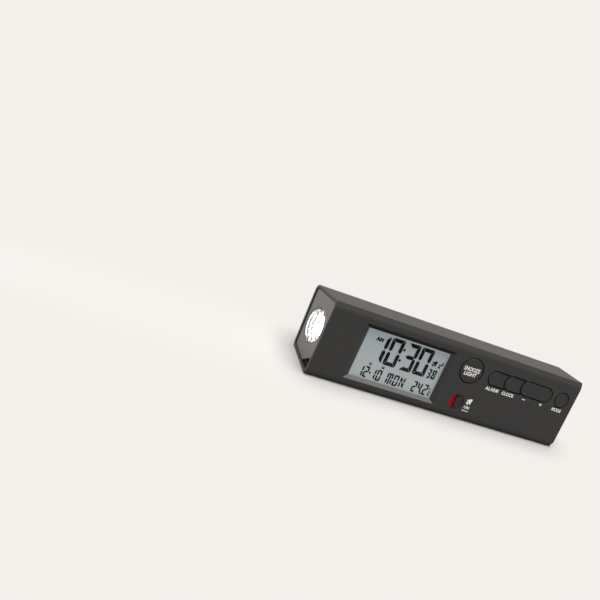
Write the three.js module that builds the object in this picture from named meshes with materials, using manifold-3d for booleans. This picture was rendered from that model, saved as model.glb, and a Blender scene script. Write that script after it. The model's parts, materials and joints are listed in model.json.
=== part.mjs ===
// A bar-shaped travel alarm clock: a display and a row of keys on a face that leans back, and a small
// torch in one end. Millimetres. The clock is drawn in the frame of its face: x runs along the length
// from the lamp end, y goes back into the casing from the flat front, and z goes up the front. The
// whole group is then leaned back so that it stands on its base, with +Z up.
import * as THREE from "three";
import { mergeVertices } from "three/addons/utils/BufferGeometryUtils.js";
import Module from "manifold-3d";

const wasm = await Module();
wasm.setup();

// ---- Driving dimensions -------------------------------------------------------------------------
const LENGTH = 146;
const LEAN = THREE.MathUtils.degToRad(15);
const GAP = 0.3;

// Cross-section of the casing, as (y, z) corners before rounding.
const SECTION = {
  faceFoot: [0, 2.7],
  faceTop: [0, 32.3],
  shoulder: [0.45, 34.2],
  crease: [1.2, 36.2],
  topBack: [24.55, 35.7],
  baseBack: [22.04, 5.5],
  baseFront: [1.5, 0],
};
const TOP_BACK_RADIUS = 3.2;
const BASE_BACK_RADIUS = 2;
const SHOULDER_CONTROL = [0.08, 33.3];

const FACE_WALL = 2;
const SIDE_WALL = 1.8;
const MOUTH_WALL = 1.2;
const MOUTH_DEPTH = 2.4;
const END_WALL = 2;
const HEAD_RING = 14;
const OVERCUT = 1;
const ROOT = 0.5;

const WINDOW = { left: 18.3, right: 68.8, foot: 3.9, top: 31, slopeX: 2.4, slopeZ: 1.8, depth: 1 };
const WINDOW_REBATE = 1.2;
const WINDOW_GLASS = 0.8;

const KEY_GAP = 0.35;
const KEY_ROW = 24.8;
const KEY_RADIUS = 3.55;
const KEY_FLANGE = 0.8;
const KEY_LIP = 0.7;
const SNOOZE_LIP = 0.9;
const KEY_SLOPE = THREE.MathUtils.degToRad(6.5);
const KEY_HORN = 2.7;
const SNOOZE = { x: 80.65, z: 24.95, radius: 6.1 };
const MODE = { x: 137.8, z: 24.7, radius: 3.7 };
const ALARM_X = 95;
const CLOCK_X = 105.15;
const ROCKER = { left: 115.4, right: 127.2, thick: 3.2 };
const ROCKER_AXIS = { x: (ROCKER.left + ROCKER.right) / 2, y: 4.1, pin: 0.7, reach: 5.6, post: 1.2 };
const ROCKER_POST = { half: 1.6, back: 1.5, bore: 0.15 };
const ROCKER_HUB = { half: 1.2, front: 3, back: 0.9, height: 3.3, pin: 5.4 };

const SLIDE = { x: 80.8, z: 8.4, radius: 4.2, depth: 1.8, floor: 0.8, travel: 3 };
const SLIDE_SLOT = { x: [79.6, 84], half: 1.3, wall: 0.8 };
const KNOB = { clear: 0.25, front: 0.1, back: 0.75 };
const RIBS = { x: [81.2, 82.3, 83.4], half: 0.2, depth: 0.4, reach: 2 };
const STEM = { x: [82.95, 83.75], front: 0.6, reach: 1.2, half: 1 };
const FLAG = { clear: 0.3, front: 0.45, back: 0.05, edge: 79.3 };
const SWITCH = { x: [76.5, 86.5], z: [5.2, 11.6], slot: [79.4, 84.3], slotHalf: 1.4, slotDepth: 1.6 };

const BOARD = { left: 19.3, right: 141, front: 6.4, thick: 1.6, foot: 4.5, top: 33 };
const TACT = { side: 4.6, height: 1.7, plunger: 0.4, plungerRadius: 1.2 };
const TACT_OFFSET = { scoop: 0.6, mode: -0.2 };
const GLASS_SEAT = 0.25;
const LCD_THICK = 1.8;
const LIGHT_GUIDE = { inset: 2.6, clear: 0.2 };
const ZEBRA = { x: [22, 66], inset: 0.3, height: 1.8 };
const CHIP = { x: [50, 59], z: [15, 24], height: 1.4 };
const CRYSTAL = { x: 63.5, radius: 1.1, z: [15, 22] };
const CAPACITOR = { x: 64.5, z: 28.5, radius: 2.6, height: 6 };
const THERMISTOR = { x: [73.6, 75.4], z: [18, 21], height: 1.6 };

const LAMP = { y: 11.65, z: 19.5, hole: 8.3, body: 9.2, leds: 3, ring: 3.55, led: 2.5 };
const BEZEL = { front: 0.5, corner: [[-1, 9.5], [11.5, 2], [11.5, -3], [-1, -3]] };
const LENS = { front: 0.9, step: 2.8, flange: 0.1, back: 3.4 };
const CUP = { front: 3.7, back: 9.7, rim: 8.6, waist: [7.7, 5.6], foot: [6.6, 8.7], ledHole: 0.3 };
const LED = { tip: 4.2, back: 11, collar: 0.35, collarFront: 10 };
const LAMP_BOARD = { x: [11.3, 12.5], y: [4, 19.4], z: [8.4, 31] };

const CELL = { radius: 5.25, length: 43.7, nub: 0.8, nubRadius: 1.9, nubSunk: 0.5, y: 14.6, z: [13.2, 24.8] };
const BAY = { left: 82, right: 135.8, wall: 1.2, floor: 0.8, foot: 7.2, top: 30.8, back: 18.6 };
const SPRING = { wire: 0.3, turns: 3.5, wide: 3, narrow: 1.9, height: 3.5, steps: 42, clear: 0.7 };
const CONTACT = { thick: 0.4, y: [10, 18], half: 4 };

const COVER = { left: HEAD_RING + GAP, right: 79.7, thick: 1.8, seat: 0.6 };
// The battery door slides off over the tail end; its grip is a shallow row of grooves.
const DOOR = { left: COVER.right + GAP, right: LENGTH - GAP, grooves: 5 };
const GRIP = { start: 6, pitch: 1.6, groove: 0.7, z: [14, 25], depth: 0.5 };
const BOSS_X = [17, 71];
const BOSS_Z = [10, 29.2];
const BOSS_RADIUS = 1.9;
const TRAY_SCREW_X = [99, 126];
const TRAY_SCREW_Z = 18.7;
const TRAY_PILLAR = { radius: 1.45, bore: 0.95, blind: 0.6, screwEnd: 1.2 };
const SCREW = { shank: 0.85, pilot: 1.15, head: 1.7, headHeight: 1, proud: 0.05, length: 7, pilotDepth: 8 };
const CROSS = { reach: 1.1, half: 0.25, depth: 0.5 };

const BUZZER = { x: 36, z: 19.5, radius: 6.5, height: 4, holes: 6, holeRing: 3, hole: 0.6, through: [18, 26] };
const TAIL_KEY = { y: 14, z: 19.5, radius: 4.4, sunk: 0.3, lip: 1, lipThick: 0.8 };
const TORCH_SWITCH = { x: [136.8, 141.4], z: [15.5, 23.5], back: 17.4 };

// ---- Solids -------------------------------------------------------------------------------------
function solid(geometry) {
  geometry.deleteAttribute("normal");
  geometry.deleteAttribute("uv");
  const merged = mergeVertices(geometry, 1e-4);
  return new wasm.Manifold(
    new wasm.Mesh({
      numProp: 3,
      vertProperties: merged.attributes.position.array,
      triVerts: new Uint32Array(merged.index.array),
    }),
  );
}

function join(first, ...others) {
  return others.reduce((whole, other) => whole.add(other), first);
}

function cut(first, ...tools) {
  return tools.reduce((whole, tool) => whole.subtract(tool), first);
}

function box([x0, x1], [y0, y1], [z0, z1]) {
  const geometry = new THREE.BoxGeometry(x1 - x0, y1 - y0, z1 - z0);
  return solid(geometry.translate((x0 + x1) / 2, (y0 + y1) / 2, (z0 + z1) / 2));
}

// A round bar along y, the way a key or a screw points.
function rodY(x, z, radius, y0, y1, sides = 24) {
  const geometry = new THREE.CylinderGeometry(radius, radius, y1 - y0, sides);
  return solid(geometry.translate(x, (y0 + y1) / 2, z));
}

// A round bar along x, the way a battery or the lamp points.
function rodX(y, z, radius, x0, x1, sides = 32) {
  const geometry = new THREE.CylinderGeometry(radius, radius, x1 - x0, sides);
  return solid(geometry.rotateZ(Math.PI / 2).translate((x0 + x1) / 2, y, z));
}

function rodZ(x, y, radius, z0, z1, sides = 16) {
  const geometry = new THREE.CylinderGeometry(radius, radius, z1 - z0, sides);
  return solid(geometry.rotateX(Math.PI / 2).translate(x, y, (z0 + z1) / 2));
}

// An outline in (x, z) given its thickness from y0 back to y1.
function plate(outline, y0, y1, curveSegments = 12) {
  const depth = y1 - y0;
  const geometry = new THREE.ExtrudeGeometry(outline, { depth, bevelEnabled: false, curveSegments });
  return solid(geometry.rotateX(Math.PI / 2).translate(0, y1, 0));
}

// A section in (y, z) run along the length from x0 to x1.
const ALONG_X = new THREE.Matrix4().set(0, 0, 1, 0, 1, 0, 0, 0, 0, 1, 0, 0, 0, 0, 0, 1);
function bar(section, x0, x1, curveSegments = 6) {
  const depth = x1 - x0;
  const geometry = new THREE.ExtrudeGeometry(section, { depth, bevelEnabled: false, curveSegments });
  return solid(geometry.applyMatrix4(ALONG_X).translate(x0, 0, 0));
}

// A profile of [radius, distance] pairs turned about an axis along x, the distance being x.
function turnedX(profile, y, z, sides = 32) {
  const points = profile.map(([radius, x]) => new THREE.Vector2(radius, -x));
  const geometry = new THREE.LatheGeometry(points, sides);
  return solid(geometry.rotateZ(Math.PI / 2).translate(0, y, z));
}

// ---- Outlines -----------------------------------------------------------------------------------
function polygon(points) {
  return new THREE.Shape(points.map(([u, v]) => new THREE.Vector2(u, v)));
}

function circle(x, z, radius) {
  return new THREE.Shape().absarc(x, z, radius, 0, 2 * Math.PI, false);
}

function stadium(left, right, z, radius) {
  const outline = new THREE.Shape();
  outline.absarc(left, z, radius, Math.PI / 2, 1.5 * Math.PI, false);
  outline.absarc(right, z, radius, -Math.PI / 2, Math.PI / 2, false);
  outline.closePath();
  return outline;
}

// A key whose left end is round and whose right end is hollowed to follow the next key's round end.
function crescent(x, nextX, radius, hollow) {
  const reach = Math.acos(KEY_HORN / hollow);
  const hornX = nextX - KEY_HORN;
  const outline = new THREE.Shape();
  outline.absarc(x, KEY_ROW, radius, Math.PI / 2, 1.5 * Math.PI, false);
  outline.lineTo(hornX, KEY_ROW - radius);
  outline.absarc(nextX, KEY_ROW, hollow, Math.PI + reach, Math.PI - reach, true);
  outline.lineTo(hornX, KEY_ROW + radius);
  outline.closePath();
  return outline;
}

// The slide's knob is the overlap of the recess's circle at the two ends of its travel.
function knobOutline(x, z, radius, travel) {
  const reach = Math.acos(travel / 2 / radius);
  const outline = new THREE.Shape();
  outline.absarc(x, z, radius, -reach, reach, false);
  outline.absarc(x + travel, z, radius, Math.PI - reach, Math.PI + reach, false);
  outline.closePath();
  return outline;
}

// Moves each side of a convex outline inwards, side i running from corner i to corner i + 1.
function inset(corners, distances) {
  const sides = corners.map((a, i) => {
    const b = corners[(i + 1) % corners.length];
    const run = new THREE.Vector2(b[0] - a[0], b[1] - a[1]).normalize();
    const inward = new THREE.Vector2(run.y, -run.x);
    return { run, point: new THREE.Vector2(...a).addScaledVector(inward, distances[i]) };
  });
  return sides.map((side, i) => {
    const before = sides[(i + sides.length - 1) % sides.length];
    const between = side.point.clone().sub(before.point);
    const along = between.cross(side.run) / before.run.cross(side.run);
    return before.point.clone().addScaledVector(before.run, along).toArray();
  });
}

const CORNERS = Object.values(SECTION);
function casingSection(wall, faceWall = wall) {
  return inset(CORNERS, CORNERS.map((_, side) => (side === 0 ? faceWall : wall)));
}

// A point on the flat back, at height z and the given depth below its surface.
const BACK_RISE = new THREE.Vector2(...SECTION.topBack).sub(new THREE.Vector2(...SECTION.baseBack));
const BACK_RUN = BACK_RISE.normalize();
const BACK_OUT = new THREE.Vector2(BACK_RUN.y, -BACK_RUN.x);
function backPoint(z, below = 0) {
  const [footY, footZ] = SECTION.baseBack;
  const surface = new THREE.Vector2(footY, footZ).addScaledVector(BACK_RUN, (z - footZ) / BACK_RUN.y);
  return surface.addScaledVector(BACK_OUT, -below).toArray();
}

function outerSection() {
  const [faceFoot, faceTop, shoulder, crease, topBack, baseBack, baseFront] = CORNERS;
  const outline = new THREE.Shape();
  outline.moveTo(...faceFoot);
  outline.lineTo(...faceTop);
  outline.quadraticCurveTo(...SHOULDER_CONTROL, ...shoulder);
  outline.lineTo(...crease);
  outline.lineTo(topBack[0] - TOP_BACK_RADIUS, topBack[1]);
  outline.quadraticCurveTo(...topBack, ...backPoint(topBack[1] - TOP_BACK_RADIUS));
  outline.lineTo(...backPoint(baseBack[1] + BASE_BACK_RADIUS));
  const onBase = baseBack[0] - BASE_BACK_RADIUS;
  outline.quadraticCurveTo(...baseBack, onBase, (onBase - baseFront[0]) * Math.tan(LEAN));
  outline.lineTo(...baseFront);
  outline.closePath();
  return outline;
}

// ---- Parts --------------------------------------------------------------------------------------
const BACK_TOP = SECTION.topBack[1] - TOP_BACK_RADIUS;
const BACK_FOOT = SECTION.baseBack[1] + BASE_BACK_RADIUS;
const OPENING = {
  left: WINDOW.left + WINDOW.slopeX,
  right: WINDOW.right - WINDOW.slopeX,
  foot: WINDOW.foot + WINDOW.slopeZ,
  top: WINDOW.top - WINDOW.slopeZ,
};
const BOARD_BACK = BOARD.front + BOARD.thick;
const FLANGE_FRONT = FACE_WALL + GAP;
const FLANGE_BACK = FLANGE_FRONT + KEY_FLANGE;

// A flat panel of the casing's back, from a height to another and a depth to another.
function backPanel(x0, x1, foot, top, outer, inner) {
  const corners = [
    backPoint(foot, outer),
    backPoint(foot, inner),
    backPoint(top, inner),
    backPoint(top, outer),
  ];
  return bar(polygon(corners), x0, x1);
}

// The display's opening: a rectangle that narrows from the face down to the window.
function windowFunnel() {
  const geometry = new THREE.BoxGeometry(1, 1, 1);
  const place = geometry.attributes.position;
  for (let i = 0; i < place.count; i += 1) {
    const onFace = place.getY(i) < 0;
    const rim = onFace ? WINDOW : OPENING;
    const x = place.getX(i) < 0 ? rim.left : rim.right;
    const z = place.getZ(i) < 0 ? rim.foot : rim.top;
    place.setXYZ(i, x, onFace ? 0 : WINDOW.depth, z);
  }
  return solid(geometry);
}

function keyOpenings() {
  const through = [-OVERCUT, FACE_WALL + OVERCUT];
  return [
    plate(circle(SNOOZE.x, SNOOZE.z, SNOOZE.radius + KEY_GAP), ...through),
    plate(crescent(ALARM_X, CLOCK_X, KEY_RADIUS + KEY_GAP, KEY_RADIUS), ...through),
    plate(crescent(CLOCK_X, ROCKER.left, KEY_RADIUS + KEY_GAP, KEY_RADIUS), ...through),
    plate(stadium(ROCKER.left, ROCKER.right, KEY_ROW, KEY_RADIUS + KEY_GAP), ...through),
    plate(circle(MODE.x, MODE.z, MODE.radius + KEY_GAP), ...through),
  ];
}

function rockerPosts() {
  const inner = ROCKER_AXIS.reach - ROCKER_AXIS.post;
  return [-1, 1].map((side) => {
    const ends = [KEY_ROW + side * inner, KEY_ROW + side * (inner + ROCKER_AXIS.post)];
    const post = box(
      [ROCKER_AXIS.x - ROCKER_POST.half, ROCKER_AXIS.x + ROCKER_POST.half],
      [FACE_WALL - ROOT, ROCKER_AXIS.y + ROCKER_POST.back],
      [Math.min(...ends), Math.max(...ends)],
    );
    const bore = ROCKER_AXIS.pin + ROCKER_POST.bore;
    const past = ROCKER_AXIS.reach + ROCKER_AXIS.post + OVERCUT;
    return cut(post, rodZ(ROCKER_AXIS.x, ROCKER_AXIS.y, bore, KEY_ROW - past, KEY_ROW + past));
  });
}

function coverBossEnd(z) {
  return backPoint(z, COVER.thick + COVER.seat)[0];
}

function frontShell() {
  const outer = bar(outerSection(), 0, LENGTH);
  const cavity = bar(polygon(casingSection(SIDE_WALL, FACE_WALL)), -OVERCUT, LENGTH - END_WALL);
  const mouth = bar(polygon(casingSection(MOUTH_WALL)), -OVERCUT, MOUTH_DEPTH);
  const behindCover = COVER.thick + GAP;
  const backOpening = backPanel(HEAD_RING, LENGTH + OVERCUT, BACK_FOOT, BACK_TOP, -OVERCUT, behindCover);
  const funnel = windowFunnel();
  const throughFace = FACE_WALL + OVERCUT;
  const windowHole = box([OPENING.left, OPENING.right], [0, throughFace], [OPENING.foot, OPENING.top]);
  const rebate = box(
    [OPENING.left - WINDOW_REBATE, OPENING.right + WINDOW_REBATE],
    [WINDOW.depth, throughFace],
    [OPENING.foot - WINDOW_REBATE, OPENING.top + WINDOW_REBATE],
  );
  const tailRadius = TAIL_KEY.radius + KEY_GAP;
  const tailStart = LENGTH - END_WALL - OVERCUT;
  const tailHole = rodX(TAIL_KEY.y, TAIL_KEY.z, tailRadius, tailStart, LENGTH + OVERCUT);
  let shell = cut(outer, cavity, mouth, backOpening, funnel, windowHole, rebate, tailHole, ...keyOpenings());
  const floorRadius = SLIDE.radius + SLIDE_SLOT.wall;
  const floorBack = SLIDE.depth + SLIDE.floor;
  const slideFloor = rodY(SLIDE.x, SLIDE.z, floorRadius, FACE_WALL - ROOT, floorBack, 32);
  shell = join(shell, slideFloor, ...rockerPosts());
  for (const z of BOSS_Z) {
    const end = coverBossEnd(z);
    const pilot = [end - SCREW.pilotDepth, end + OVERCUT];
    shell = join(shell, ...BOSS_X.map((x) => rodY(x, z, BOSS_RADIUS, FACE_WALL - ROOT, end, 16)));
    shell = cut(shell, ...BOSS_X.map((x) => rodY(x, z, SCREW.pilot, ...pilot, 12)));
  }
  for (const x of TRAY_SCREW_X) {
    const pillarEnd = BOARD.front - GAP;
    shell = join(shell, rodY(x, TRAY_SCREW_Z, TRAY_PILLAR.radius, FACE_WALL - ROOT, pillarEnd, 16));
    shell = cut(shell, rodY(x, TRAY_SCREW_Z, TRAY_PILLAR.bore, FACE_WALL + TRAY_PILLAR.blind, BOARD.front, 12));
  }
  const recess = rodY(SLIDE.x, SLIDE.z, SLIDE.radius, -OVERCUT, SLIDE.depth, 32);
  const slotHeight = [SLIDE.z - SLIDE_SLOT.half, SLIDE.z + SLIDE_SLOT.half];
  return cut(shell, recess, box(SLIDE_SLOT.x, [0, floorBack + OVERCUT], slotHeight));
}

function rearCover() {
  let cover = backPanel(COVER.left, COVER.right, BACK_FOOT + GAP, BACK_TOP - GAP, 0, COVER.thick);
  for (const x of BOSS_X) {
    for (const z of BOSS_Z) {
      const surface = backPoint(z)[0];
      const sunk = surface - SCREW.headHeight - SCREW.proud * 2;
      cover = cut(cover, rodY(x, z, SCREW.head + GAP, sunk, surface + OVERCUT, 20));
      cover = cut(cover, rodY(x, z, SCREW.shank + GAP, sunk - COVER.thick, surface, 12));
    }
  }
  const soundHoles = Array.from({ length: BUZZER.holes }, (_, i) => {
    const turn = (2 * Math.PI * i) / BUZZER.holes;
    const x = BUZZER.x + BUZZER.holeRing * Math.cos(turn);
    return rodY(x, BUZZER.z + BUZZER.holeRing * Math.sin(turn), BUZZER.hole, ...BUZZER.through, 10);
  });
  return cut(cover, rodY(BUZZER.x, BUZZER.z, BUZZER.hole, ...BUZZER.through, 10), ...soundHoles);
}

function batteryDoor() {
  let door = backPanel(DOOR.left, DOOR.right, BACK_FOOT + GAP, BACK_TOP - GAP, 0, COVER.thick);
  for (let i = 0; i < DOOR.grooves; i += 1) {
    const x = DOOR.left + GRIP.start + i * GRIP.pitch;
    door = cut(door, backPanel(x, x + GRIP.groove, ...GRIP.z, -OVERCUT, GRIP.depth));
  }
  return door;
}

function pressKey(outline, flange) {
  return join(plate(outline, 0, FLANGE_FRONT), plate(flange, FLANGE_FRONT, FLANGE_BACK));
}

// A key whose top slopes into the casing from its round left end, as a finger scoop.
function scoopedKey(x, nextX) {
  const flangeRadius = KEY_RADIUS + KEY_LIP;
  const cap = crescent(x, nextX, KEY_RADIUS, KEY_RADIUS + KEY_GAP);
  const key = pressKey(cap, crescent(x, nextX, flangeRadius, flangeRadius + GAP));
  const reach = 2 * (nextX - x);
  const scoop = new THREE.BoxGeometry(reach, reach, reach).translate(reach / 2, -reach / 2, 0);
  return cut(key, solid(scoop.rotateZ(KEY_SLOPE).translate(x - KEY_RADIUS, 0, KEY_ROW)));
}

// Room in one key's flange for the cap of the key before it, which passes there when it is pressed.
function passingCap(x, nextX) {
  return plate(crescent(x, nextX, KEY_RADIUS + GAP, KEY_RADIUS), FLANGE_FRONT - 0.01, FLANGE_BACK + OVERCUT);
}

function rocker() {
  const cap = plate(stadium(ROCKER.left, ROCKER.right, KEY_ROW, KEY_RADIUS), 0, ROCKER.thick);
  const hub = box(
    [ROCKER_AXIS.x - ROCKER_HUB.half, ROCKER_AXIS.x + ROCKER_HUB.half],
    [ROCKER_HUB.front, ROCKER_AXIS.y + ROCKER_HUB.back],
    [KEY_ROW - ROCKER_HUB.height, KEY_ROW + ROCKER_HUB.height],
  );
  const pin = [KEY_ROW - ROCKER_HUB.pin, KEY_ROW + ROCKER_HUB.pin];
  return join(cap, hub, rodZ(ROCKER_AXIS.x, ROCKER_AXIS.y, ROCKER_AXIS.pin, ...pin));
}

function alarmSlider() {
  const outline = knobOutline(SLIDE.x, SLIDE.z, SLIDE.radius - KNOB.clear, SLIDE.travel);
  let knob = plate(outline, KNOB.front, SLIDE.depth - KNOB.back);
  const stemDepth = [STEM.front, SLIDE.depth + SLIDE.floor + STEM.reach];
  const stem = box(STEM.x, stemDepth, [SLIDE.z - STEM.half, SLIDE.z + STEM.half]);
  for (const x of RIBS.x) {
    const ribHeight = [SLIDE.z - RIBS.reach, SLIDE.z + RIBS.reach];
    knob = cut(knob, box([x - RIBS.half, x + RIBS.half], [0, RIBS.depth], ribHeight));
  }
  return join(knob, stem);
}

// The red sector of the slide's floor that the knob uncovers at ON.
function alarmFlag() {
  const radius = SLIDE.radius - FLAG.clear;
  const disc = rodY(SLIDE.x, SLIDE.z, radius, SLIDE.depth - FLAG.front, SLIDE.depth - FLAG.back, 32);
  const past = 2 * radius;
  return cut(disc, box([FLAG.edge, FLAG.edge + past], [0, past], [SLIDE.z - past, SLIDE.z + past]));
}

function alarmSwitch() {
  const front = SLIDE.depth + SLIDE.floor;
  const body = box(SWITCH.x, [front + GAP, BOARD.front - GAP], SWITCH.z);
  const slotHeight = [SLIDE.z - SWITCH.slotHalf, SLIDE.z + SWITCH.slotHalf];
  return cut(body, box(SWITCH.slot, [front, front + SWITCH.slotDepth], slotHeight));
}

function tactSwitch(x, z) {
  const half = TACT.side / 2;
  const front = BOARD.front - GAP - TACT.height;
  const body = box([x - half, x + half], [front, BOARD.front - GAP], [z - half, z + half]);
  return join(body, rodY(x, z, TACT.plungerRadius, front - TACT.plunger, front + TACT.plunger, 16));
}

function mainBoard() {
  const board = box([BOARD.left, BOARD.right], [BOARD.front, BOARD_BACK], [BOARD.foot, BOARD.top]);
  const through = [BOARD.front - OVERCUT, BOARD_BACK + OVERCUT];
  const holes = BOSS_Z.map((z) => rodY(BOSS_X[1], z, BOSS_RADIUS + GAP, ...through, 16));
  const screwHoles = TRAY_SCREW_X.map((x) => rodY(x, TRAY_SCREW_Z, SCREW.shank + GAP, ...through, 12));
  return cut(board, ...holes, ...screwHoles);
}

// Head towards the back, shank towards the face, both along y.
function screw(x, z, headTop, shankEnd) {
  const head = rodY(x, z, SCREW.head, headTop - SCREW.headHeight, headTop, 16);
  const shank = rodY(x, z, SCREW.shank, shankEnd, headTop - SCREW.headHeight / 2, 12);
  const depth = [headTop - CROSS.depth, headTop + OVERCUT];
  const cross = [
    box([x - CROSS.reach, x + CROSS.reach], depth, [z - CROSS.half, z + CROSS.half]),
    box([x - CROSS.half, x + CROSS.half], depth, [z - CROSS.reach, z + CROSS.reach]),
  ];
  return cut(join(head, shank), ...cross);
}

// The mouth's insert fills the casing's end, apart from its lower front corner, which is cut away.
function lampBezel() {
  const insert = bar(polygon(casingSection(MOUTH_WALL + GAP)), BEZEL.front, MOUTH_DEPTH - GAP);
  const corner = bar(polygon(BEZEL.corner), 0, MOUTH_DEPTH);
  return cut(insert, corner, rodX(LAMP.y, LAMP.z, LAMP.hole, 0, MOUTH_DEPTH, 48));
}

function lampLens() {
  const front = rodX(LAMP.y, LAMP.z, LAMP.hole - GAP, LENS.front, LENS.step, 48);
  return join(front, rodX(LAMP.y, LAMP.z, LAMP.body, MOUTH_DEPTH + LENS.flange, LENS.back, 48));
}

function lampReflector() {
  const cup = turnedX(
    [
      [0, CUP.back],
      [LAMP.body, CUP.back],
      [LAMP.body, CUP.front],
      [CUP.rim, CUP.front],
      CUP.waist,
      CUP.foot,
      [0, CUP.foot[1]],
    ],
    LAMP.y,
    LAMP.z,
    48,
  );
  const hole = [CUP.foot[1] - OVERCUT, CUP.back + OVERCUT];
  return cut(cup, ...ledPlaces().map(([y, z]) => rodX(y, z, LAMP.led + CUP.ledHole, ...hole, 20)));
}

function ledPlaces() {
  return Array.from({ length: LAMP.leds }, (_, i) => {
    const turn = Math.PI / 2 + (2 * Math.PI * i) / LAMP.leds;
    return [LAMP.y + LAMP.ring * Math.cos(turn), LAMP.z + LAMP.ring * Math.sin(turn)];
  });
}

function lampLed([y, z]) {
  const r = LAMP.led;
  const dome = [0, 1, 2, 3, 4].map((i) => {
    const turn = (Math.PI / 2) * (i / 4);
    return [r * Math.sin(turn), LED.tip + r * (1 - Math.cos(turn))];
  });
  const collar = r + LED.collar;
  const foot = [[0, LED.back], [collar, LED.back], [collar, LED.collarFront], [r, LED.collarFront]];
  return turnedX([...foot, ...dome.reverse()], y, z, 20);
}

function batteryTray() {
  const depth = [BOARD_BACK + GAP, BAY.back];
  const height = [BAY.foot, BAY.top];
  const floor = box([BAY.left, BAY.right], [depth[0], depth[0] + BAY.floor], height);
  const ends = [
    box([BAY.left, BAY.left + BAY.wall], depth, height),
    box([BAY.right - BAY.wall, BAY.right], depth, height),
  ];
  const through = [depth[0] - OVERCUT, depth[0] + BAY.floor + OVERCUT];
  const holes = TRAY_SCREW_X.map((x) => rodY(x, TRAY_SCREW_Z, SCREW.shank + GAP, ...through, 12));
  return cut(join(floor, ...ends), ...holes);
}

// A cell with its nub towards +x when facing is 1, or towards -x when it is -1.
function batteryCell(start, z, facing) {
  const end = start + CELL.length;
  const body = rodX(CELL.y, z, CELL.radius, start, end, 28);
  const ahead = [end - CELL.nubSunk, end + CELL.nub];
  const behind = [start - CELL.nub, start + CELL.nubSunk];
  return join(body, rodX(CELL.y, z, CELL.nubRadius, ...(facing > 0 ? ahead : behind), 20));
}

function contactPlate(x, z0, z1) {
  return box([x, x + CONTACT.thick], CONTACT.y, [z0, z1]);
}

// A conical coil between a contact plate and a cell's flat end, narrow end first.
class ConeCoil extends THREE.Curve {
  constructor(start, z, facing) {
    super();
    Object.assign(this, { start, z, facing });
  }

  getPoint(t, target = new THREE.Vector3()) {
    const turn = 2 * Math.PI * SPRING.turns * t;
    const radius = THREE.MathUtils.lerp(SPRING.wide, SPRING.narrow, t);
    const x = this.start + this.facing * SPRING.height * t;
    return target.set(x, CELL.y + radius * Math.cos(turn), this.z + radius * Math.sin(turn));
  }
}

function contactSpring(start, z, facing) {
  const wire = new THREE.Shape().absarc(0, 0, SPRING.wire, 0, 2 * Math.PI, false);
  const extrudePath = new ConeCoil(start, z, facing);
  return solid(new THREE.ExtrudeGeometry(wire, { steps: SPRING.steps, curveSegments: 3, extrudePath }));
}

function torchButton() {
  const face = LENGTH - TAIL_KEY.sunk;
  const behind = LENGTH - END_WALL - GAP;
  return join(
    rodX(TAIL_KEY.y, TAIL_KEY.z, TAIL_KEY.radius, behind - TAIL_KEY.lipThick / 2, face, 32),
    rodX(TAIL_KEY.y, TAIL_KEY.z, TAIL_KEY.radius + TAIL_KEY.lip, behind - TAIL_KEY.lipThick, behind, 32),
  );
}

// ---- The clock ----------------------------------------------------------------------------------
const FINISH = {
  casing: { color: 0x3a3a3c, roughness: 0.62, metalness: 0 },
  key: { color: 0x363638, roughness: 0.6, metalness: 0 },
  red: { color: 0xb01226, roughness: 0.5, metalness: 0 },
  clear: { color: 0xe8eef0, roughness: 0.05, metalness: 0 },
  lcd: { color: 0xb4bcbe, roughness: 0.15, metalness: 0 },
  white: { color: 0xe9e9e4, roughness: 0.4, metalness: 0 },
  carbon: { color: 0x1b1b1d, roughness: 0.8, metalness: 0 },
  board: { color: 0x1f5a34, roughness: 0.45, metalness: 0 },
  epoxy: { color: 0x101012, roughness: 0.35, metalness: 0 },
  steel: { color: 0xb9bbbd, roughness: 0.3, metalness: 1 },
  chrome: { color: 0xdfe2e4, roughness: 0.08, metalness: 1 },
  silver: { color: 0x9a9896, roughness: 0.45, metalness: 0 },
  label: { color: 0x2f3b46, roughness: 0.35, metalness: 0.2 },
};

const clock = new THREE.Group();
function put(name, finish, shape) {
  const found = shape.getMesh();
  const points = new Float32Array(found.vertProperties);
  const geometry = new THREE.BufferGeometry();
  geometry.setAttribute("position", new THREE.BufferAttribute(points, 3));
  geometry.setIndex(new THREE.BufferAttribute(new Uint32Array(found.triVerts), 1));
  geometry.computeVertexNormals();
  const mesh = new THREE.Mesh(geometry, new THREE.MeshStandardMaterial(FINISH[finish]));
  mesh.name = name;
  clock.add(mesh);
}

put("front_shell", "casing", frontShell());
put("rear_cover", "casing", rearCover());
put("battery_door", "casing", batteryDoor());

const glassFront = WINDOW.depth + GLASS_SEAT;
const glassBack = glassFront + WINDOW_GLASS;
const paneX = [OPENING.left - WINDOW_REBATE + GAP, OPENING.right + WINDOW_REBATE - GAP];
const paneZ = [OPENING.foot - WINDOW_REBATE + GAP, OPENING.top + WINDOW_REBATE - GAP];
put("display_window", "clear", box(paneX, [glassFront, glassBack], paneZ));
const lcdFront = glassBack + GLASS_SEAT;
const lcdBack = lcdFront + LCD_THICK;
put("lcd_panel", "lcd", box(paneX, [lcdFront, lcdBack], paneZ));
const stackDepth = [lcdBack + GAP, BOARD.front - GAP];
const guideDepth = [stackDepth[0], stackDepth[1] - LIGHT_GUIDE.clear];
const guideHeight = [paneZ[0] + LIGHT_GUIDE.inset, paneZ[1] - LIGHT_GUIDE.inset];
put("backlight_panel", "white", box(paneX, guideDepth, guideHeight));
const zebraLow = paneZ[0] + ZEBRA.inset;
const zebraHigh = paneZ[1] - ZEBRA.inset;
put("zebra_lower", "carbon", box(ZEBRA.x, stackDepth, [zebraLow, zebraLow + ZEBRA.height]));
put("zebra_upper", "carbon", box(ZEBRA.x, stackDepth, [zebraHigh - ZEBRA.height, zebraHigh]));

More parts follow.
